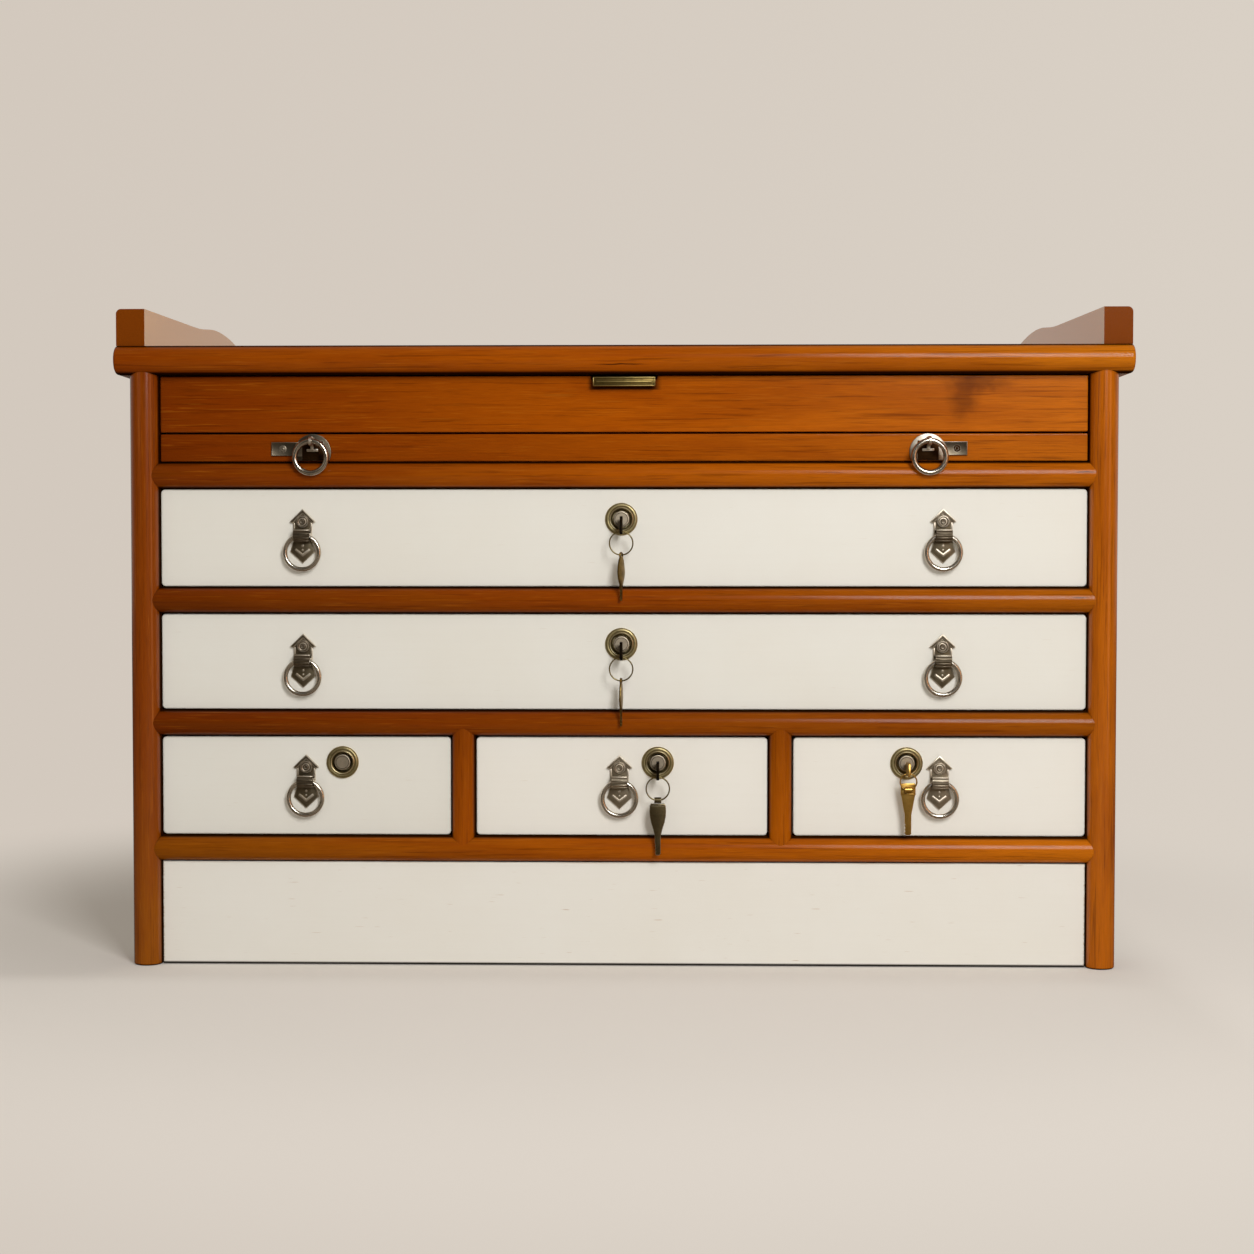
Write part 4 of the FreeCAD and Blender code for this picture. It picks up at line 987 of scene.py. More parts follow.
@dataclass(frozen=True)
class Carcass:
    """The frame of posts, rails, boards and panels that everything else sits in."""

    wood: VarnishedHardwood = VarnishedHardwood()
    paint: PaintedWood = PaintedWood()
    softwood: BareSoftwood = BareSoftwood()
    board_round: float = 0.8
    gallery_tone: str = "#a2520a"
    # Pale painted reflection on the galleries' inner faces
    gallery_painted_reflection: str = "#eaaa62"
    gallery_end: str = "#7b3a08"
    gallery_end_share: float = 0.96
    gallery_ior: float = 1.6
    gallery_contrast: float = 0.6
    post_ior: float = 1.42
    # The posts' painted edge shade spans a narrower band of facings
    post_painted_shade_facing: Flat = (-0.46, -0.20)
    faded_foot: str = "#a8620a"
    # Painted shadow: a dark square round the edge pull on the tray's front
    pull_painted_shadow: Stain = Stain(1.6, 409.4, 22.6, 4.6, strength=0.9, ragged=0.8, tone="#160700", square=True)
    knot: Stain = Stain(238.0, 397.0, 12.0, 16.0, strength=0.5, ragged=14.0)
    knot_crown: Stain = Stain(247.0, 409.0, 26.0, 8.0, strength=0.55, ragged=14.0)
    crack: Stain = Stain(-0.5, 421.0, 22.0, 0.55, strength=0.9, ragged=1.2, tone="#1c0800")
    nicks: tuple[Stain, ...] = (
        Stain(321.0, 346.5, 9.0, 0.6, strength=0.8, ragged=1.6, tone="#2a0e00"),
        Stain(330.0, 342.5, 3.0, 1.2, strength=0.6, ragged=2.0, tone="#2a0e00"),
        Stain(318.0, 259.5, 7.0, 0.6, strength=0.7, ragged=1.6, tone="#2a0e00"))
    # Painted light: a paler copy of the paint for the middle and right fronts and the plinth, lit less in the
    # scene
    paint_with_painted_light: str = "#f2eee5"
    aged_paint_with_painted_light: str = "#ede7db"
    front_wear: float = 0.25
    plinth_wear: float = 0.8
    # Height of the painted contact shadow along the plinth's foot, in millimetres
    plinth_foot_shadow_mm: float = 2.0
    side_wear: float = 0.3
    softwood_seed: float = 2.0
    box_side: float = 9.5

    def toned(self, left_tone_with_painted_shade: str, middle: str, right_tone_with_painted_light: str, **changes) -> VarnishedHardwood:
        """The varnished wood in other tones.

        Args:
            left_tone_with_painted_shade: Tone at the left end, darkened as painted shade.
            middle: Tone in the middle.
            right_tone_with_painted_light: Tone at the right end, paler as painted light.
            **changes: Other values of the wood that differ.

        Returns:
            The changed wood.
        """
        return replace(self.wood, left_tone_with_painted_shade=left_tone_with_painted_shade, middle=middle, right_tone_with_painted_light=right_tone_with_painted_light, **changes)

    def boards(self) -> tuple[Board, ...]:
        """Every node of varnished wood."""
        along_x, along_y, along_z = Grain
        # Each board's first and last tones paint shade at the left end and light at the right end
        top = self.toned("#8c3f02", "#ae5403", "#c46e0e")
        tray = self.toned("#762f02", "#ac5203", "#c86a0c")
        lip = self.toned("#702c02", "#a04b02", "#be640a")
        rails = self.toned("#6d3003", "#aa5304", "#c86d0c", foot_tone=self.faded_foot)
        dividers = self.toned("#944602", "#b05a04", "#a85404")
        posts = self.toned(
            "#883d02", "#a44e03", "#bc6206", foot_tone=self.faded_foot, coat_ior=self.post_ior,
            seam_facing=self.post_painted_shade_facing)
        # Galleries: one even tone, with a painted reflection on their inner faces
        galleries = self.toned(
            self.gallery_tone, self.gallery_tone, self.gallery_tone, coat_ior=self.gallery_ior,
            end_tone=self.gallery_end, end_share=self.gallery_end_share, contrast=self.gallery_contrast,
            bleached=self.gallery_painted_reflection)
        return (
            Board("rear_posts", along_z, 7.9, self.wood),
            Board("side_rails", along_y, 17.1, self.wood, round_mm=self.board_round),
            Board("slide_board", along_x, 19.9, self.wood, round_mm=self.board_round),
            Board("top_board", along_x, 0.0, top, (self.crack,), half_round=True),
            Board("tray_front", along_x, 29.5, tray, (self.knot, self.knot_crown, self.pull_painted_shadow)),
            Board("slide_lip", along_x, 23.3, lip),
            Board("front_rails", along_x, 11.3, rails, self.nicks, banded=True, half_round=True),
            Board("drawer_dividers", along_z, 13.7, dividers, banded=True, half_round=True),
            Board("front_posts", along_z, 5.7, posts, half_round=True),
            Board("top_galleries", along_y, 3.1, galleries),
        )

    def dress_painted(self) -> None:
        """Paint the drawer fronts, the plinth and the side panels."""
        # Painted light: the middle and right fronts and the plinth take the paler copy of the paint
        paint_lightened_as_light = replace(self.paint, paint=self.paint_with_painted_light, aged=self.aged_paint_with_painted_light)
        plinth = replace(paint_lightened_as_light, foot_shadow_mm=self.plinth_foot_shadow_mm)
        rows = [(name + "_front", self.paint, self.front_wear) for name in ("upper", "lower", "left")]
        rows += [(name + "_front", paint_lightened_as_light, self.front_wear) for name in ("middle", "right")]
        rows.append(("plinth_panel", plinth, self.plinth_wear))
        for node, paint, wear in rows:
            dress(node, paint.material("cream_paint_" + node, node, Grain.ALONG_X, wear))
        finish = self.paint.material("cream_paint_side_panels", "side_panels", Grain.ALONG_Z, self.side_wear)
        dress("side_panels", finish, self.board_round)

    def dress_bare(self) -> None:
        """Leave the drawer boxes, dust boards, guides and back in bare softwood."""
        rows = [
            ("back_panel", Grain.ALONG_Z), ("dust_boards", Grain.ALONG_X), ("drawer_guides", Grain.ALONG_Y)]
        rows += [(name + "_box", Grain.ALONG_X) for name in ("tray", *DRAWERS)]
        for number, (node, grain) in enumerate(rows, 1):
            sides = None
            if node.endswith("_box"):
                low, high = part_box(node)
                sides = (middle_mm(node).x, (high.x - low.x) / 2 / MM - self.box_side)
            seed = number * self.softwood_seed
            finish = self.softwood.material("bare_softwood_" + node, grain, seed, sides)
            dress(node, finish, self.board_round)

    def dress(self) -> None:
        """Give every wooden node its finish."""
        for board in self.boards():
            board.dress()
        self.dress_painted()
        self.dress_bare()


class PullTone(IntEnum):
    """Finishes of a drawer pull, in the order of its materials."""

    GROUND = 0
    RELIEF = 1
    STRAP = 2


@dataclass(frozen=True)
class DrawerPull:
    """A cast plate with a roof, a rosette, a ribbed strap loop and a pointed tongue."""

    thick: float = 1.2
    rim: float = 0.35
    sink: float = 0.2
    half_outline: tuple = ((9.1, 9.5), (6.5, 8.3), (6.5, -3.5), (8.75, -11.5))
    apex: float = 18.5
    tip: float = -19.6
    roof_inner: Flat = (7.0, 8.7)
    roof_peak: float = 15.4
    roof_lift: float = 0.9
    wall: tuple = (5.4, 6.5, 3.6, 8.8)
    wall_lift: float = 0.6
    wall_rim: float = 0.3
    rosette_rise: float = 9.6
    rosette: tuple = (
        (4.45, 0.0), (4.45, 0.75), (4.05, 1.25), (3.55, 1.3), (3.15, 0.9), (2.6, 0.55), (2.15, 0.6),
        (1.85, 1.3), (1.2, 1.75), (0.55, 1.6), (0.0, 1.75))
    loop_axis: float = -160.509
    loop: tuple = (
        (3.61, -5.75), (4.2, -5.75), (4.41, -5.5), (4.41, 5.5), (4.2, 5.75), (3.61, 5.75), (3.61, -5.75))
    rib_radius: float = 0.62
    rib_reach: float = 4.31
    rib_half: float = 5.4
    rib_rim: float = 0.3
    rib_degrees: tuple = (54.0, 13.0, -26.0, -64.0)
    dots: tuple = ((-7.2, 0.8), (-10.2, 0.6))
    dot_sink: float = 0.1
    dot_dome: tuple = ((0.8, 0.45), (0.0, 0.7))
    chevron: tuple = ((-5.3, -10.3), (-4.5, -9.3), (0.0, -12.9), (4.5, -9.3), (5.3, -10.3), (0.0, -14.6))
    chevron_lift: float = 0.7
    chevron_rim: float = 0.25
    bolt_radius: float = 1.5
    bolt_end: float = -136.5
    bolt_rim: float = 0.3
    nut_radius: float = 4.0
    nut_planes: Flat = (-141.0, -138.0)
    nut_rim: float = 0.4

    def cast(self, form: Form, x: float, z: float) -> None:
        """Add one pull to a piece.

        Args:
            form: The piece.
            x: Place of the ring's axis.
            z: Height of the ring's axis.
        """
        front = FACE_Y - self.thick
        back = front + self.sink
        form.tone = PullTone.GROUND
        sheet = [(0.0, self.apex), *self.half_outline, (0.0, self.tip), *mirrored(self.half_outline)]
        form.plate(moved(sheet, x, z), FACE_Y, front, self.rim)
        form.tone = PullTone.RELIEF
        slope = (self.half_outline[0], self.roof_inner)
        roof = [(0.0, self.apex), *slope, (0.0, self.roof_peak), *mirrored(slope)]
        form.plate(moved(roof, x, z), back, front - self.roof_lift, self.rim)
        near, far, low, high = self.wall
        for side in (-1.0, 1.0):
            strip = [(side * near, low), (side * far, low), (side * far, high), (side * near, high)]
            form.plate(moved(strip, x, z), back, front - self.wall_lift, self.wall_rim)
        form.turned([(r, front - lift) for r, lift in self.rosette], (x, 0.0, z + self.rosette_rise))
        form.tone = PullTone.STRAP
        form.turned([(r, x + along) for r, along in self.loop], (x, self.loop_axis, z), "X", steps=40)
        for degrees in self.rib_degrees:
            form.tone = PullTone.RELIEF if degrees == self.rib_degrees[0] else PullTone.STRAP
            angle = math.radians(degrees)
            y = self.loop_axis - self.rib_reach * math.cos(angle)
            level = z + self.rib_reach * math.sin(angle)
            form.rod(
                self.rib_radius, (x - self.rib_half, y, level), (x + self.rib_half, y, level), self.rib_rim,
                sides=12)
        form.tone = PullTone.RELIEF
        for drop, radius in self.dots:
            dome = [(radius, front + self.dot_sink)]
            dome += [(radius * share, front - radius * lift) for share, lift in self.dot_dome]
            form.turned(dome, (x, 0.0, z + drop), steps=20)
        form.plate(moved(self.chevron, x, z), back, front - self.chevron_lift, self.chevron_rim)
        form.tone = PullTone.GROUND
        bolt_z = z + self.rosette_rise
        form.rod(self.bolt_radius, (x, front, bolt_z), (x, self.bolt_end, bolt_z), self.bolt_rim, sides=20)
        first, last = self.nut_planes
        form.rod(self.nut_radius, (x, first, bolt_z), (x, last, bolt_z), self.nut_rim, HEXAGON)

    def build(self, drawer: str, node: str, rings: list[str], materials: list[bpy.types.Material]) -> None:
        """Make one drawer's pulls, hung over the rings that the frame holds.

        Args:
            drawer: Name of the drawer.
            node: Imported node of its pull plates.
            rings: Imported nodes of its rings.
            materials: Finishes of the castings' ground, raised work and straps.
        """
        form = Form(node + "_cast")
        for ring in rings:
            self.cast(form, middle_mm(ring).x, wire_ends(ring)[1])
        form.finish(drawer + "_drawer", materials, "pull_metal", node)


class SlideTone(IntEnum):
    """Finishes of the slide's pulls, in the order of their materials."""

    DARK = 0
    PIN = 1
    # Dark blocks and screw head, as painted shade
    RECESS = 2
    # Paler plate copy, as painted light
    PALE = 3


@dataclass(frozen=True)
class SlidePull:
    """A round plate with a screwed tail, and a lug that the slide's ring hangs in."""

    thick: float = 1.5
    sink: float = 0.2
    radius: float = 12.9
    plate_rim: float = 0.45
    plate_drop: float = 7.3
    trim_drop: float = 13.1
    tail_start: float = 4.0
    tail_half: float = 4.8
    tail_rise: float = 2.4
    tail_proud: float = 0.15
    tail_rim: float = 0.4
    tail_margin: Flat = (0.9, 0.4)
    # Size and place of the dark block that paints the shade behind the lug
    shade_block_half: float = 7.4
    shade_block_top: float = 0.5
    shade_block_lift: float = 0.15
    shade_block_rim: float = 0.1
    lug_half: float = 1.1
    lug_rim: float = 0.3
    eye: Flat = (2.2, 3.1)
    arm_start: float = -165.6
    pin_stand: float = 3.5
    foot_half: Flat = (4.2, 1.0)
    foot_drop: float = 5.9
    foot_lift: float = 1.0
    foot_rim: float = 0.5
    screw: tuple = ((2.4, -0.5), (2.4, -0.1), (2.1, 0.05), (1.5, 0.0), (1.2, -0.35), (0.0, -0.4))
    shank_radius: float = 1.2
    shank_rim: float = 0.4
    screw_end: float = -146.5

    def cast(self, form: Form, x: float, y: float, z: float, tail_end: float) -> None:
        """Add one pull to a piece.

        Args:
            form: The piece.
            x: Middle of the plate.
            y: Plane that the ring's axis lies in.
            z: Height of the ring's axis.
            tail_end: Where the tail ends.
        """
        side = math.copysign(1.0, tail_end - x)
        front = FACE_Y - self.thick
        back = front + self.sink
        # Painted light: the right plate takes a paler copy of the nickel, for the stronger light on the right
        form.tone = SlideTone.PALE if side > 0.0 else SlideTone.DARK
        part = bmesh.new()
        disc(part, (x, FACE_Y, z - self.plate_drop), self.radius, facets=64)
        bmesh.ops.bisect_plane(
            part, geom=part.verts[:] + part.edges[:] + part.faces[:],
            plane_co=(x, FACE_Y, z - self.trim_drop), plane_no=(0.0, 0.0, -1.0), clear_outer=True)
        thicken(part, -self.thick)
        soften(part, [edge for edge in part.edges if on_plane(edge, front)], self.plate_rim)
        form.take(part)
        form.tone = SlideTone.DARK
        tail_z = z - self.plate_drop + self.tail_rise
        start = x + side * self.tail_start
        low, high = tail_z - self.tail_half, tail_z + self.tail_half
        tail = [(start, low), (tail_end, low), (tail_end, high), (start, high)]
        form.plate(tail, FACE_Y, front - self.tail_proud, self.tail_rim, sunk=self.tail_margin)
        # Painted shade: a dark block fills the pocket behind the lug, where shade falls
        form.tone = SlideTone.RECESS
        form.block(
            (x - self.shade_block_half, front - self.shade_block_lift, z - self.trim_drop + self.sink),
            (x + self.shade_block_half, back, z + self.shade_block_top), self.shade_block_rim)
        form.tone = SlideTone.PIN
        inner, outer = self.eye
        half = self.lug_half
        form.roll(inner, outer, half, self.lug_rim, (x, y, z), steps=32)
        form.block((x - half, self.arm_start, z - outer), (x + half, back, z + outer), self.lug_rim)
        foot_z = z - self.foot_drop
        form.block((x - half, front - self.pin_stand, foot_z), (x + half, back, z), self.lug_rim)
        wide, tall = self.foot_half
        form.block(
            (x - wide, front - self.foot_lift, foot_z - tall), (x + wide, back, foot_z + tall), self.foot_rim)
        # Painted shade: the right screw head is dark as the shade in its recess
        form.tone = SlideTone.RECESS if side > 0.0 else SlideTone.DARK
        screw_x = (x + side * self.radius + tail_end) / 2
        form.turned([(r, front - lift) for r, lift in self.screw], (screw_x, 0.0, tail_z), steps=36)
        form.rod(
            self.shank_radius, (screw_x, front, tail_z), (screw_x, self.screw_end, tail_z), self.shank_rim,
            sides=16)

    def build(self, materials: list[bpy.types.Material]) -> None:
        """Make both of the slide's pulls.

        Args:
            materials: Finishes of the left plate and both tails, the pins, the dark blocks that paint the
                shade behind them, and the right plate, a paler copy as painted light.
        """
        form = Form("slide_pull_plates_cast")
        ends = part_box("slide_pull_plates")
        for ring, end in zip(("slide_ring_left", "slide_ring_right"), ends):
            middle = middle_mm(ring)
            self.cast(form, middle.x, middle.y, wire_ends(ring)[1], end.x / MM)
        form.finish("writing_slide", materials, "pull_metal", "slide_pull_plates")


@dataclass(frozen=True)
class CamLock:
    """A cam lock: a brass barrel with a beaded flange, and a plug that turns in it."""

    barrel: tuple = (
        (5.72, -135.0), (5.72, -150.0), (6.7, -150.0), (6.7, -156.9), (7.35, -158.0), (7.6, -158.25),
        (8.0, -158.35), (8.5, -158.1), (8.9, -157.75), (9.6, -157.95), (10.4, -157.8), (11.05, -157.35),
        (11.4, -156.7), (11.4, -156.0), (8.5, -156.0), (8.5, -135.0), (5.72, -135.0))
    facets: int = 64
    nut_radius: float = 12.4
    nut_planes: Flat = (-141.0, -137.0)
    nut_rim: float = 0.6
    plug_radius: float = 5.6
    plug_planes: Flat = (-133.5, -157.9)
    plug_rim: float = 0.4
    slot_half: float = 1.15
    slot_top: float = 1.8
    face_grooves: tuple = ((0.55, 0.0), (0.2, -0.3), (0.2, 0.3))
    groove_reach: float = 0.4
    cam_planes: Flat = (-133.5, -131.0)
    cam_half: float = 4.5
    cam_rim: float = 0.3
    screw_radius: float = 3.0
    screw_end: float = -129.0
    screw_rim: float = 0.5

    def bored_plug(self, x: float, z: float) -> bmesh.types.BMesh:
        """The plug's cylinder, with a keyhole through it and grooves in its face.

        Args:
            x: Place of its axis.
            z: Height of its axis.

        Returns:
            The part.
        """
        part = bmesh.new()
        back, front = self.plug_planes
        disc(part, (x, back, z), self.plug_radius, self.facets)
        top = z + self.slot_top
        across, up = (1.0, 0.0, 0.0), (0.0, 0.0, 1.0)
        for point, normal in (
            ((x - self.slot_half, 0.0, 0.0), across), ((x + self.slot_half, 0.0, 0.0), across),
            ((0.0, 0.0, top), up),
        ):
            bmesh.ops.bisect_plane(
                part, geom=part.verts[:] + part.edges[:] + part.faces[:], plane_co=point, plane_no=normal)
        slot = [
            face for face in part.faces
            if abs(face.calc_center_median().x - x) < self.slot_half and face.calc_center_median().z < top]
        bmesh.ops.delete(part, geom=slot, context="FACES")
        bmesh.ops.dissolve_faces(part, faces=part.faces[:], use_verts=True)
        thicken(part, front - back)
        soften(part, [edge for edge in part.edges if on_plane(edge, front)], self.plug_rim)
        for margin, depth in self.face_grooves:
            near = [
                face for face in part.faces
                if all(abs(corner.co.y - front) < self.groove_reach for corner in face.verts)]
            largest = max(near, key=lambda face: face.calc_area())
            bmesh.ops.inset_region(
                part, faces=[largest], thickness=margin, depth=depth, use_even_offset=True)
        return part

    def build(self, drawer: str, brass: bpy.types.Material, nickel: bpy.types.Material) -> None:
        """Make one drawer's lock, where the frame holds it.

        Args:
            drawer: Name of the drawer.
            brass: Finish of the barrel and nut.
            nickel: Finish of the plug and cam.
        """
        body_node = drawer + "_lock_body"
        plug_node = drawer + "_lock_plug"
        spot = middle_mm(body_node)
        x, z = spot.x, spot.z
        shell = Form(body_node + "_turned")
        shell.turned(list(self.barrel), (x, 0.0, z), steps=self.facets)
        first, last = self.nut_planes
        shell.rod(self.nut_radius, (x, first, z), (x, last, z), self.nut_rim, HEXAGON)
        shell.finish(drawer + "_drawer", [brass], "lock_brass", body_node)
        plug = Form(plug_node + "_core")
        plug.take(self.bored_plug(x, z))
        low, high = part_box(plug_node)
        left_reach, right_reach = x - low.x / MM, high.x / MM - x
        side = 1.0 if right_reach > left_reach else -1.0
        tip = x + side * (max(left_reach, right_reach) - self.cam_half)
        first, last = self.cam_planes
        plug.rod(self.plug_radius, (x, first, z), (x, last, z), self.cam_rim)
        plug.rod(self.cam_half, (tip, first, z), (tip, last, z), self.cam_rim)
        plug.block(
            (min(x, tip), first, z - self.cam_half), (max(x, tip), last, z + self.cam_half), self.cam_rim)
        plug.rod(self.screw_radius, (x, last, z), (x, self.screw_end, z), self.screw_rim, sides=24)
        plug.finish(drawer + "_lock", [nickel], "lock_brass", plug_node)


@dataclass(frozen=True)
class Key:
    """Keys for the cam locks: one that stands in its lock, and spares that hang on its ring."""

    thick: float = 2.0
    rim: float = 0.35
    standing: tuple = (
        (-174.0, 2.8), (-173.0, 4.0), (-164.0, 4.1), (-161.6, 3.2), (-158.4, 1.8), (-138.0, 1.8),
        (-136.6, 0.6), (-136.6, -1.6), (-157.6, -1.8))
    standing_head: tuple = ((-160.8, 4.4), (-163.2, 0.8), (-164.6, 0.0), (-172.8, 0.0), (-174.0, 1.2))
    standing_drop: float = 2.2
    head_wall: float = 0.6
    hole: float = 2.0
    hang: float = 0.9
    leaf: tuple = (
        (1.3, -3.0), (2.6, -4.9), (3.4, -6.2), (4.3, -9.4), (5.0, -13.2), (5.0, -15.4), (4.1, -18.6),
        (2.3, -22.2), (1.4, -24.4), (1.2, -26.0))
    leaf_half: float = 0.65
    leaf_eye: Flat = (1.8, 2.5)
    leaf_hang: float = 0.4
    spatula: tuple = (
        (5.0, -2.6), (5.6, -4.2), (5.8, -8.0), (5.6, -11.5), (4.6, -16.0), (3.2, -20.5), (2.3, -24.0),
        (2.0, -26.5))
    square_bow: tuple = (
        (4.6, 4.4), (5.2, 3.6), (5.2, -3.4), (4.7, -4.4), (3.4, -12.0), (2.4, -17.0), (2.3, -19.5))
    square_back: float = 2.3
    spatula_half: float = 0.9
    eye: Flat = (1.5, 2.1)
    eye_half: float = 2.5
    eye_rim: float = 0.2
    fold_radius: float = 0.75
    fold_rim: float = 0.3
    fold_drop: float = 3.0
    tip_rise: float = 1.0
    tip_inset: float = 0.8
    cuts: tuple = (2.6, 4.9, 7.2)
    cut_half: float = 0.9
    cut_depth: float = 0.6

    def bitted(self, outline: tuple, end: float) -> list[Flat]:
        """Both sides of a hanging key, with a cut bit down one side of its blade.

        Args:
            outline: Half width and height of the points from the top to the blade.
            end: Height of the blade's end.

        Returns:
            Corners of the whole key.
        """
        half = outline[-1][0]
        tip = [(half, end + self.tip_rise), (half - self.tip_inset, end), (-half + self.tip_inset, end)]
        bit = []
        for rise in self.cuts:
            bit += [(-half, end + rise - self.cut_half), (-half + self.cut_depth, end + rise)]
        bit.append((-half, end + self.cuts[-1] + self.cut_half))
        return [*outline, *tip, *bit, *mirrored(outline)]

    def build_standing(self, drawer: str, material: bpy.types.Material) -> None:
        """Make the key that stands in a drawer's lock.

        Args:
            drawer: Name of the drawer.
            material: Its finish.
        """
        plug_node = drawer + "_lock_plug"
        spot = middle_mm(drawer + "_lock_body")
        hole_z = wire_ends(drawer + "_key_ring")[1] + self.hang
        foot = hole_z - self.hole - self.head_wall
        outline = moved(self.standing, 0.0, spot.z - self.standing_drop)
        outline += moved(self.standing_head, 0.0, foot)
        hole = (middle_mm(drawer + "_key_ring").y, hole_z, self.hole)
        turn = Matrix.Translation((spot.x, 0.0, 0.0)) @ Matrix.Rotation(QUARTER_TURN, 4, "Z")
        form = Form(plug_node + "_key")
        form.plate(outline, -self.thick / 2, self.thick / 2, self.rim, hole, turn=turn)
        form.finish(drawer + "_lock", [material], "key_brass", plug_node)

    def build_leaf(self, drawer: str, degrees: float, material: bpy.types.Material) -> None:
        """Make a spare key that hangs nearly edge-on.

        Args:
            drawer: Name of the drawer.
            degrees: Turn about the vertical.
            material: Its finish.
        """
        node = drawer + "_spare_key"
        ring = middle_mm(drawer + "_key_ring")
        inner, outer = self.leaf_eye
        half = self.leaf_half
        top = wire_ends(drawer + "_key_ring")[0] - self.leaf_hang + outer
        turn = Matrix.Translation((ring.x, ring.y, top)) @ Matrix.Rotation(math.radians(degrees), 4, "Z")
        form = Form(node + "_cut")
        form.plate(self.bitted(self.leaf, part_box(node)[0].z / MM - top), half, -half, self.rim, turn=turn)
        loop = [
            (inner, -half), (outer - self.rim, -half), (outer, 0.0), (outer - self.rim, half), (inner, half),
            (inner, -half)]
        form.turned(loop, (0.0, 0.0, -outer), steps=28, turn=turn)
        form.finish(drawer + "_spare_key_body", [material], "key_brass", node)

    def build_spatula(self, drawer: str, bow: tuple, back: float, material: bpy.types.Material) -> None:
        """Make a spare key that hangs face-on by a rolled eye.

        Args:
            drawer: Name of the drawer.
            bow: Half width and height of the points from its top to its blade.
            back: How far the plate of the key lies behind its eye.
            material: Its finish.
        """
        node = drawer + "_spare_key"
        low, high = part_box(node)
        x = middle_mm(node).x
        y = middle_mm(drawer + "_key_ring").y
        inner, outer = self.eye
        axis = high.z / MM - outer
        half = self.spatula_half
        form = Form(node + "_cut")
        turn = Matrix.Translation((x, y + back, axis))
        form.plate(self.bitted(bow, low.z / MM - axis), half, -half, self.rim, turn=turn)
        form.roll(inner, outer, self.eye_half, self.eye_rim, (x, y, axis), steps=28)
        reach = bow[0][0]
        fold_y, fold_z = y + back - half, axis - self.fold_drop
        form.rod(
            self.fold_radius, (x - reach, fold_y, fold_z), (x + reach, fold_y, fold_z), self.fold_rim,
            sides=14)
        form.finish(drawer + "_spare_key_body", [material], "key_brass", node)


@dataclass(frozen=True)
class KeyRing:
    """A split ring coiled from one and a half turns of wire."""

    wire: float = 0.48
    turns: float = 1.5
    steps: int = 120
    facets: int = 12

    def build(self, drawer: str, material: bpy.types.Material) -> None:
        """Make the ring on one drawer's key.

        Args:
            drawer: Name of the drawer.
            material: Its finish.
        """
        node = drawer + "_key_ring"
        low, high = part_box(node)
        middle = middle_mm(node)
        radius = (high.z - low.z) / 2 / MM - self.wire
        run = 2.0 * self.wire * self.turns
        start = (middle.x, middle.y - run / 2, middle.z + radius)
        part = bmesh.new()
        place = Matrix.Translation(start) @ Matrix.Rotation(QUARTER_TURN, 4, "Y")
        section = bmesh.ops.create_circle(part, segments=self.facets, radius=self.wire, matrix=place)
        bmesh.ops.spin(
            part, geom=section["verts"] + part.edges[:], cent=middle, axis=(0.0, 1.0, 0.0),
            dvec=(0.0, run / self.steps, 0.0), angle=FULL_TURN * self.turns, steps=self.steps)
        bmesh.ops.holes_fill(part, edges=[edge for edge in part.edges if edge.is_boundary], sides=0)
        form = Form(node + "_coil")
        form.take(part)
        form.finish(drawer + "_key_ring_body", [material], "key_ring_steel", node)


class EdgeTone(IntEnum):
    """Finishes of the edge pull, in the order of its materials."""

    FIELD = 0
    RIM = 1


@dataclass(frozen=True)
class EdgePull:
    """The bent brass pull on the tray drawer's upper edge."""

    metal: float = 1.5
    rim: float = 0.4
    field_depth: float = 0.55
    frame_radius: float = 0.5
    rod_rim: float = 0.2
    rib_radius: float = 0.75
    rib_inset: float = 2.0
    rib_back: float = 0.2

    def build(self, materials: list[bpy.types.Material]) -> None:
        """Make the pull where the frame holds it.

        Args:
            materials: Finishes of its field and of its raised frame.
        """
        node = "tray_edge_pull"
        low, high = (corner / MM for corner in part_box(node))
        form = Form(node + "_bent")
        form.tone = EdgeTone.FIELD
        lip = [(low.x, low.z), (high.x, low.z), (high.x, high.z), (low.x, high.z)]
        form.plate(lip, low.y + self.metal, low.y + self.field_depth, self.rim)
        form.block((low.x, low.y + self.rim, high.z - self.metal), (high.x, high.y, high.z), self.rim)
        form.tone = EdgeTone.RIM
        edge = self.frame_radius
        left, right = low.x + edge, high.x - edge
        bottom, top = low.z + edge, high.z - edge
        y = low.y + edge
        corners = [(left, y, bottom), (right, y, bottom), (right, y, top), (left, y, top)]
        for start, end in zip(corners, corners[1:] + corners[:1]):
            form.rod(edge, start, end, self.rod_rim, sides=14)
        rib_y, rib_z = y + self.rib_back, (bottom + top) / 2
        form.rod(
            self.rib_radius, (left + self.rib_inset, rib_y, rib_z), (right - self.rib_inset, rib_y, rib_z),
            self.rod_rim, sides=14)
        form.finish("tray_drawer", materials, "pull_brass", node)


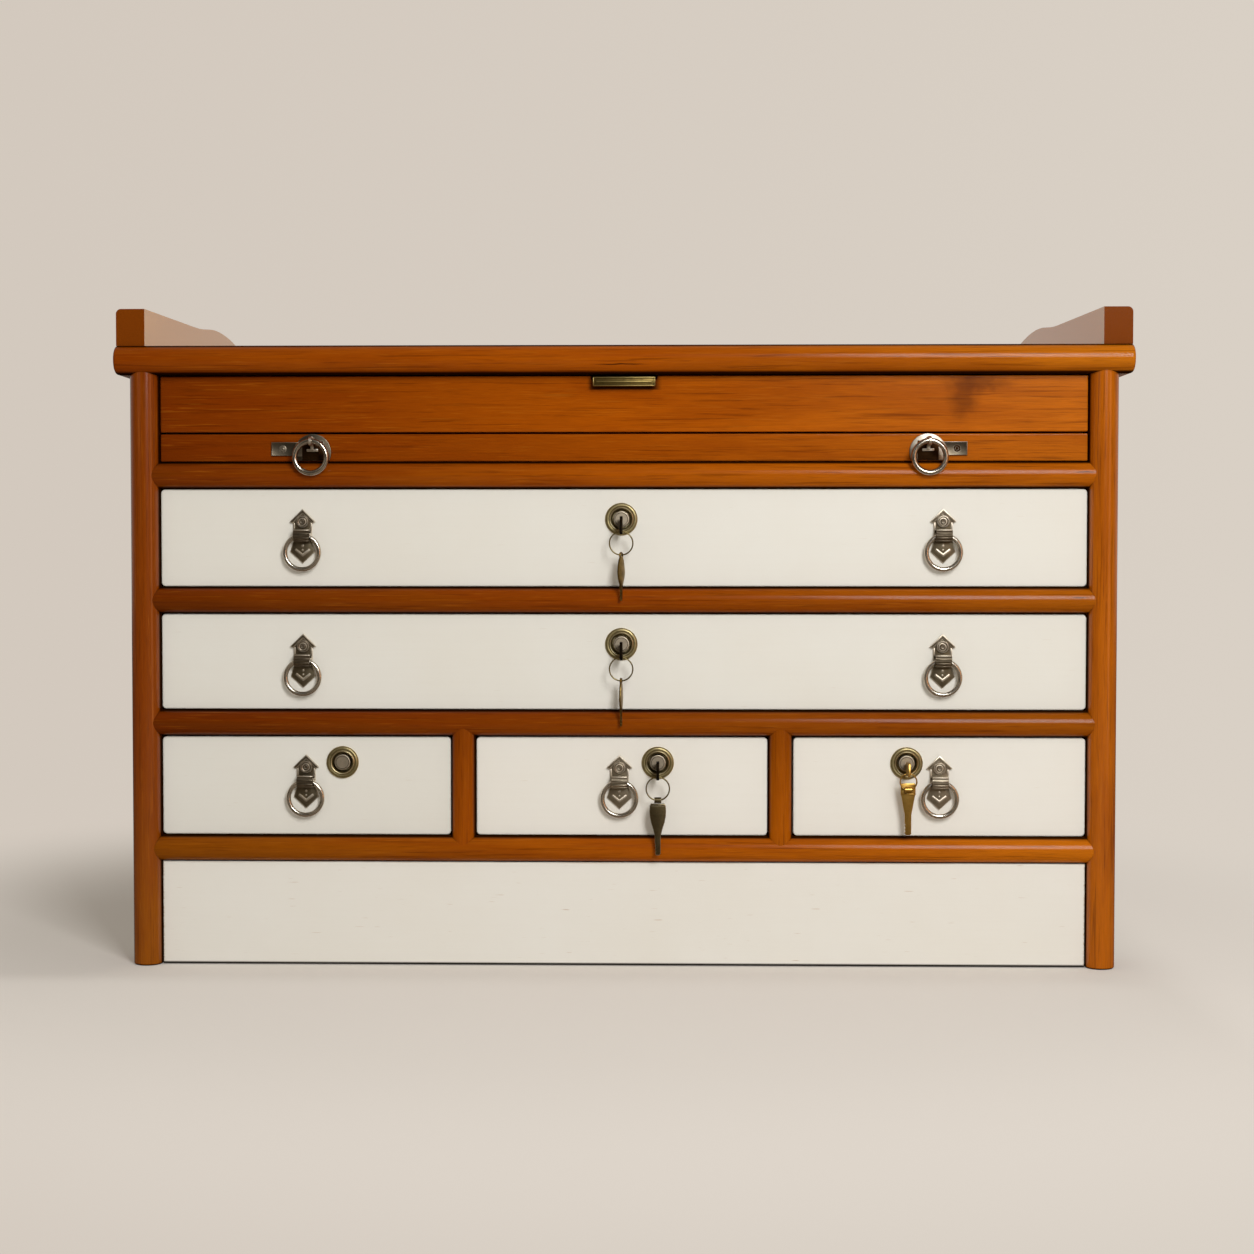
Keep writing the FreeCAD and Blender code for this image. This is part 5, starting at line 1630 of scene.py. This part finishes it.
@dataclass(frozen=True)
class Hardware:
    """Every pull, ring, lock and key on the chest."""

    pull: DrawerPull = DrawerPull()
    slide_pull: SlidePull = SlidePull()
    lock: CamLock = CamLock()
    key: Key = Key()
    key_ring: KeyRing = KeyRing()
    edge_pull: EdgePull = EdgePull()
    upper_leaf_turn: float = 64.0
    lower_leaf_turn: float = 80.0

    def fit_pulls(self) -> None:
        """Fit the drawer pulls, the slide pulls and the edge pull, and polish their rings."""
        castings = [
            PULL_GROUND.material("blackened_pewter_ground"), PULL_RAISED.material("rubbed_pewter_relief"),
            PULL_STRAP.material("dark_pewter_straps")]
        worn = [
            WORN_GROUND.material("worn_pewter_ground"), WORN_RAISED.material("worn_pewter_relief"),
            WORN_STRAP.material("worn_pewter_straps")]
        nickel = RING_NICKEL.material("worn_nickel_rings")
        for drawer in DRAWERS:
            pair = drawer in ("upper", "lower")
            rings = [drawer + "_ring" + side for side in (("_left", "_right") if pair else ("",))]
            node = drawer + ("_pull_plates" if pair else "_pull_plate")
            self.pull.build(drawer, node, rings, worn if drawer in ("middle", "right") else castings)
            for ring in rings:
                dress(ring, nickel)
        self.slide_pull.build([
            SLIDE_DARK.material("darkened_nickel_plate"), SLIDE_PIN.material("bright_nickel_pins"),
            SLIDE_PAINTED_SHADE.material("painted_shade_blocks"), SLIDE_PAINTED_LIGHT.material("nickel_plate_painted_light")])
        polished = SLIDE_NICKEL.material("polished_nickel")
        for ring in ("slide_ring_left", "slide_ring_right"):
            dress(ring, polished)
        self.edge_pull.build([
            EDGE_PULL_BRASS.material("tarnished_brass_field"), EDGE_RIM_BRASS.material("rubbed_brass_rim")])

    def fit_locks(self) -> None:
        """Fit the five locks, and the keys and key rings on four of them."""
        brass = LOCK_BRASS.material("aged_brass_locks")
        nickel = PLUG_NICKEL.material("nickel_silver_plugs")
        blackened = KEY_BLACKENED.material("blackened_brass_keys")
        bronze = KEY_BRONZE.material("dark_brass_keys")
        gold = KEY_GOLD.material("golden_brass_key")
        steel = KEY_RING_STEEL.material("key_ring_wire")
        for drawer in DRAWERS:
            self.lock.build(drawer, brass, nickel)
        for drawer in KEYED_DRAWERS:
            self.key.build_standing(drawer, gold if drawer == "right" else blackened)
            self.key_ring.build(drawer, gold if drawer == "right" else steel)
        self.key.build_leaf("upper", self.upper_leaf_turn, bronze)
        self.key.build_leaf("lower", self.lower_leaf_turn, bronze)
        self.key.build_spatula("middle", self.key.spatula, 0.0, KEY_GREYED.material("greyed_brass_key"))
        self.key.build_spatula("right", self.key.square_bow, self.key.square_back, gold)


@dataclass(frozen=True)
class SoftBox:
    """A lamp with a rectangular face: its place and size in metres, its power in watts."""

    name: str
    spot: Point
    width: float
    height: float
    watts: float
    colour: str
    lights_matt: bool = True

    def hang(self, aim: Point) -> None:
        """Hang the lamp.

        Args:
            aim: Point that it faces.
        """
        lamp = bpy.data.lights.new(self.name, "AREA")
        lamp.shape = "RECTANGLE"
        lamp.size = self.width
        lamp.size_y = self.height
        lamp.energy = self.watts
        lamp.color = linear(self.colour)[:3]
        holder = bpy.data.objects.new(self.name, lamp)
        holder.location = self.spot
        holder.rotation_mode = "QUATERNION"
        holder.rotation_quaternion = (Vector(aim) - Vector(self.spot)).to_track_quat("-Z", "Y")
        holder.visible_diffuse = self.lights_matt
        bpy.context.scene.collection.objects.link(holder)


@dataclass(frozen=True)
class Studio:
    """The pale floor, the soft lights, the surroundings and the camera."""

    backdrop: str = "#d7cdc3"
    wall_left: str = "#d3c9be"
    wall_right: str = "#d9d0c5"
    sweep: float = 0.27
    floor_radius: float = 9.0
    floor_seen: str = "#e7e1da"
    floor_bounce: str = "#d2cfca"
    floor_mirrored: str = "#8a8073"
    floor_glow: str = "#eae1d6"
    floor_lift: float = 0.12
    floor_fade: Flat = (0.42, 0.88)
    # Painted light: where and how much the floor glows for the camera right of the chest and in front of it
    lit_side: Flat = (0.31, 0.41)
    lit_lift: float = 0.55
    lit_front: Flat = (-0.165, -0.24)
    front_lift: float = 0.35
    dome: Flat = (0.18, 0.43)
    depth_span: Flat = (-0.5, 0.5)
    dim: float = 0.04
    ceiling_span: Flat = (0.3, 0.95)
    ceiling: float = 0.30
    shade_tint: str = "#fff8ec"
    room_tint: str = "#c9b8a2"
    aim: Point = (0.0, -0.05, 0.24)
    # A tall soft box right of the camera, a warm strip that shows in gloss alone and a weak fill
    lamps: tuple[SoftBox, ...] = (
        SoftBox("key_soft_box", (0.62, -1.94, 1.16), 0.55, 0.95, 28.0, "#ffffff"),
        SoftBox("side_strip", (1.40, -1.35, 0.45), 0.45, 1.2, 4.0, "#ffb67e", lights_matt=False),
        SoftBox("fill_soft_box", (-1.8, -2.2, 1.2), 1.4, 1.4, 2.5, "#ffeed8"))
    camera_spot: Point = (17.9, -1656.0, 290.8)
    camera_near: float = 0.05
    yaw_degrees: float = 1.333
    pitch_degrees: float = 1.992
    focal_pixels: float = 2141.1
    shift_pixels: float = 29.5

    def walled(self, recipe: Recipe, heading: Socket) -> Socket:
        """Shade the backdrop from left to right.

        Args:
            recipe: The floor's or the world's shader.
            heading: Direction that the backdrop is seen in.

        Returns:
            Colour of the backdrop in that direction.
        """
        across = recipe.ramp(recipe.split(heading)["X"], (-self.sweep, self.sweep))
        return recipe.mix(across, self.wall_left, self.wall_right)

    def lay_floor(self) -> None:
        """Lay a pale floor that shows the shadow near the chest, glows brighter right of it and in front of
        it as painted light, and melts into the backdrop.
        """
        part = bmesh.new()
        bmesh.ops.create_circle(part, cap_ends=True, segments=96, radius=self.floor_radius)
        data = bpy.data.meshes.new("floor")
        part.to_mesh(data)
        part.free()
        floor = bpy.data.objects.new("floor", data)
        bpy.context.scene.collection.objects.link(floor)
        made, recipe = new_material("matt_paper_floor")
        place = recipe.place()
        parts = recipe.split(place)
        path = recipe.add("LightPath").outputs
        seen = path["Is Camera Ray"]
        melt = recipe.ramp(recipe.vector("LENGTH", place), self.floor_fade, smooth=True)
        # Painted light: extra glow right of the chest and in front of it lifts the shade there
        side = recipe.ramp(parts["X"], self.lit_side, (self.floor_lift, self.lit_lift), smooth=True)
        front = recipe.ramp(parts["Y"], self.lit_front, (0.0, self.front_lift), smooth=True)
        lifted = recipe.ramp(melt, to=(recipe.calc("MAXIMUM", side, front), 1.0))
        tone = recipe.mix(seen, self.floor_bounce, self.floor_seen)
        tone = recipe.mix(path["Is Glossy Ray"], tone, self.floor_mirrored)
        paper = recipe.add("BsdfDiffuse", {"Color": tone})
        # Seen from the fixed point that the photograph was taken from, so that its far part takes the
        # backdrop's shade
        ray = recipe.vector("SUBTRACT", place, metres(*self.camera_spot))
        wall = self.walled(recipe, recipe.vector("NORMALIZE", ray))
        glow = recipe.add("Emission", {"Color": recipe.mix(melt, self.floor_glow, wall), "Strength": 1.0})
        both = recipe.add("MixShader", {
            0: recipe.calc("MULTIPLY", lifted, seen), 1: paper.outputs["BSDF"], 2: glow.outputs["Emission"]})
        recipe.add("OutputMaterial", {"Surface": both.outputs["Shader"]})
        data.materials.append(made)

    def surround(self) -> None:
        """Give the room a soft even light, a pale backdrop and a dimmer camera side for the metals."""
        world = bpy.data.worlds.new("studio")
        bpy.context.scene.world = world
        recipe = Recipe(world)
        heading = recipe.add("TexCoord").outputs["Generated"]
        parts = recipe.split(heading)
        path = recipe.add("LightPath").outputs
        seen = path["Is Camera Ray"]
        behind = recipe.ramp(parts["Y"], self.depth_span, (self.dim, 1.0), smooth=True)
        above = recipe.ramp(parts["Z"], self.ceiling_span, (0.0, self.ceiling), smooth=True)
        room = recipe.calc("MAXIMUM", behind, above)
        mirrored_ray = recipe.calc("MAXIMUM", path["Is Glossy Ray"], path["Is Transmission Ray"])
        level = recipe.ramp(mirrored_ray, to=(recipe.ramp(parts["Z"], to=self.dome), room))
        level = recipe.ramp(seen, to=(level, 1.0))
        tint = recipe.mix(behind, self.room_tint, self.backdrop)
        tint = recipe.mix(seen, tint, self.walled(recipe, heading))
        tint = recipe.mix(path["Is Diffuse Ray"], tint, self.shade_tint)
        air = recipe.add("Background", {"Color": tint, "Strength": level})
        recipe.add("OutputWorld", {"Surface": air.outputs["Background"]})

    def stand_camera(self) -> None:
        """Stand the camera where the photograph was taken from."""
        lens = bpy.data.cameras.new("camera")
        lens.sensor_width = SENSOR_MM
        lens.lens = self.focal_pixels * SENSOR_MM / IMAGE_PIXELS
        lens.shift_x = self.shift_pixels / IMAGE_PIXELS
        lens.clip_start = self.camera_near
        camera = bpy.data.objects.new("camera", lens)
        yaw, pitch = math.radians(self.yaw_degrees), math.radians(self.pitch_degrees)
        ahead = Vector((
            -math.sin(yaw) * math.cos(pitch), math.cos(yaw) * math.cos(pitch), -math.sin(pitch)))
        camera.location = metres(*self.camera_spot)
        camera.rotation_mode = "QUATERNION"
        camera.rotation_quaternion = ahead.to_track_quat("-Z", "Y")
        bpy.context.scene.collection.objects.link(camera)
        bpy.context.scene.camera = camera
        bpy.context.scene.view_settings.view_transform = "Standard"

    def build(self) -> None:
        """Set up the floor, the surroundings, the lamps and the camera."""
        self.lay_floor()
        self.surround()
        for lamp in self.lamps:
            lamp.hang(self.aim)
        self.stand_camera()


def main() -> None:
    """Dress the chest, fit its hardware and set up the studio."""
    logging.basicConfig(level=logging.INFO)
    Carcass().dress()
    hardware = Hardware()
    hardware.fit_pulls()
    hardware.fit_locks()
    Studio().build()


if __name__ == "__main__":
    main()
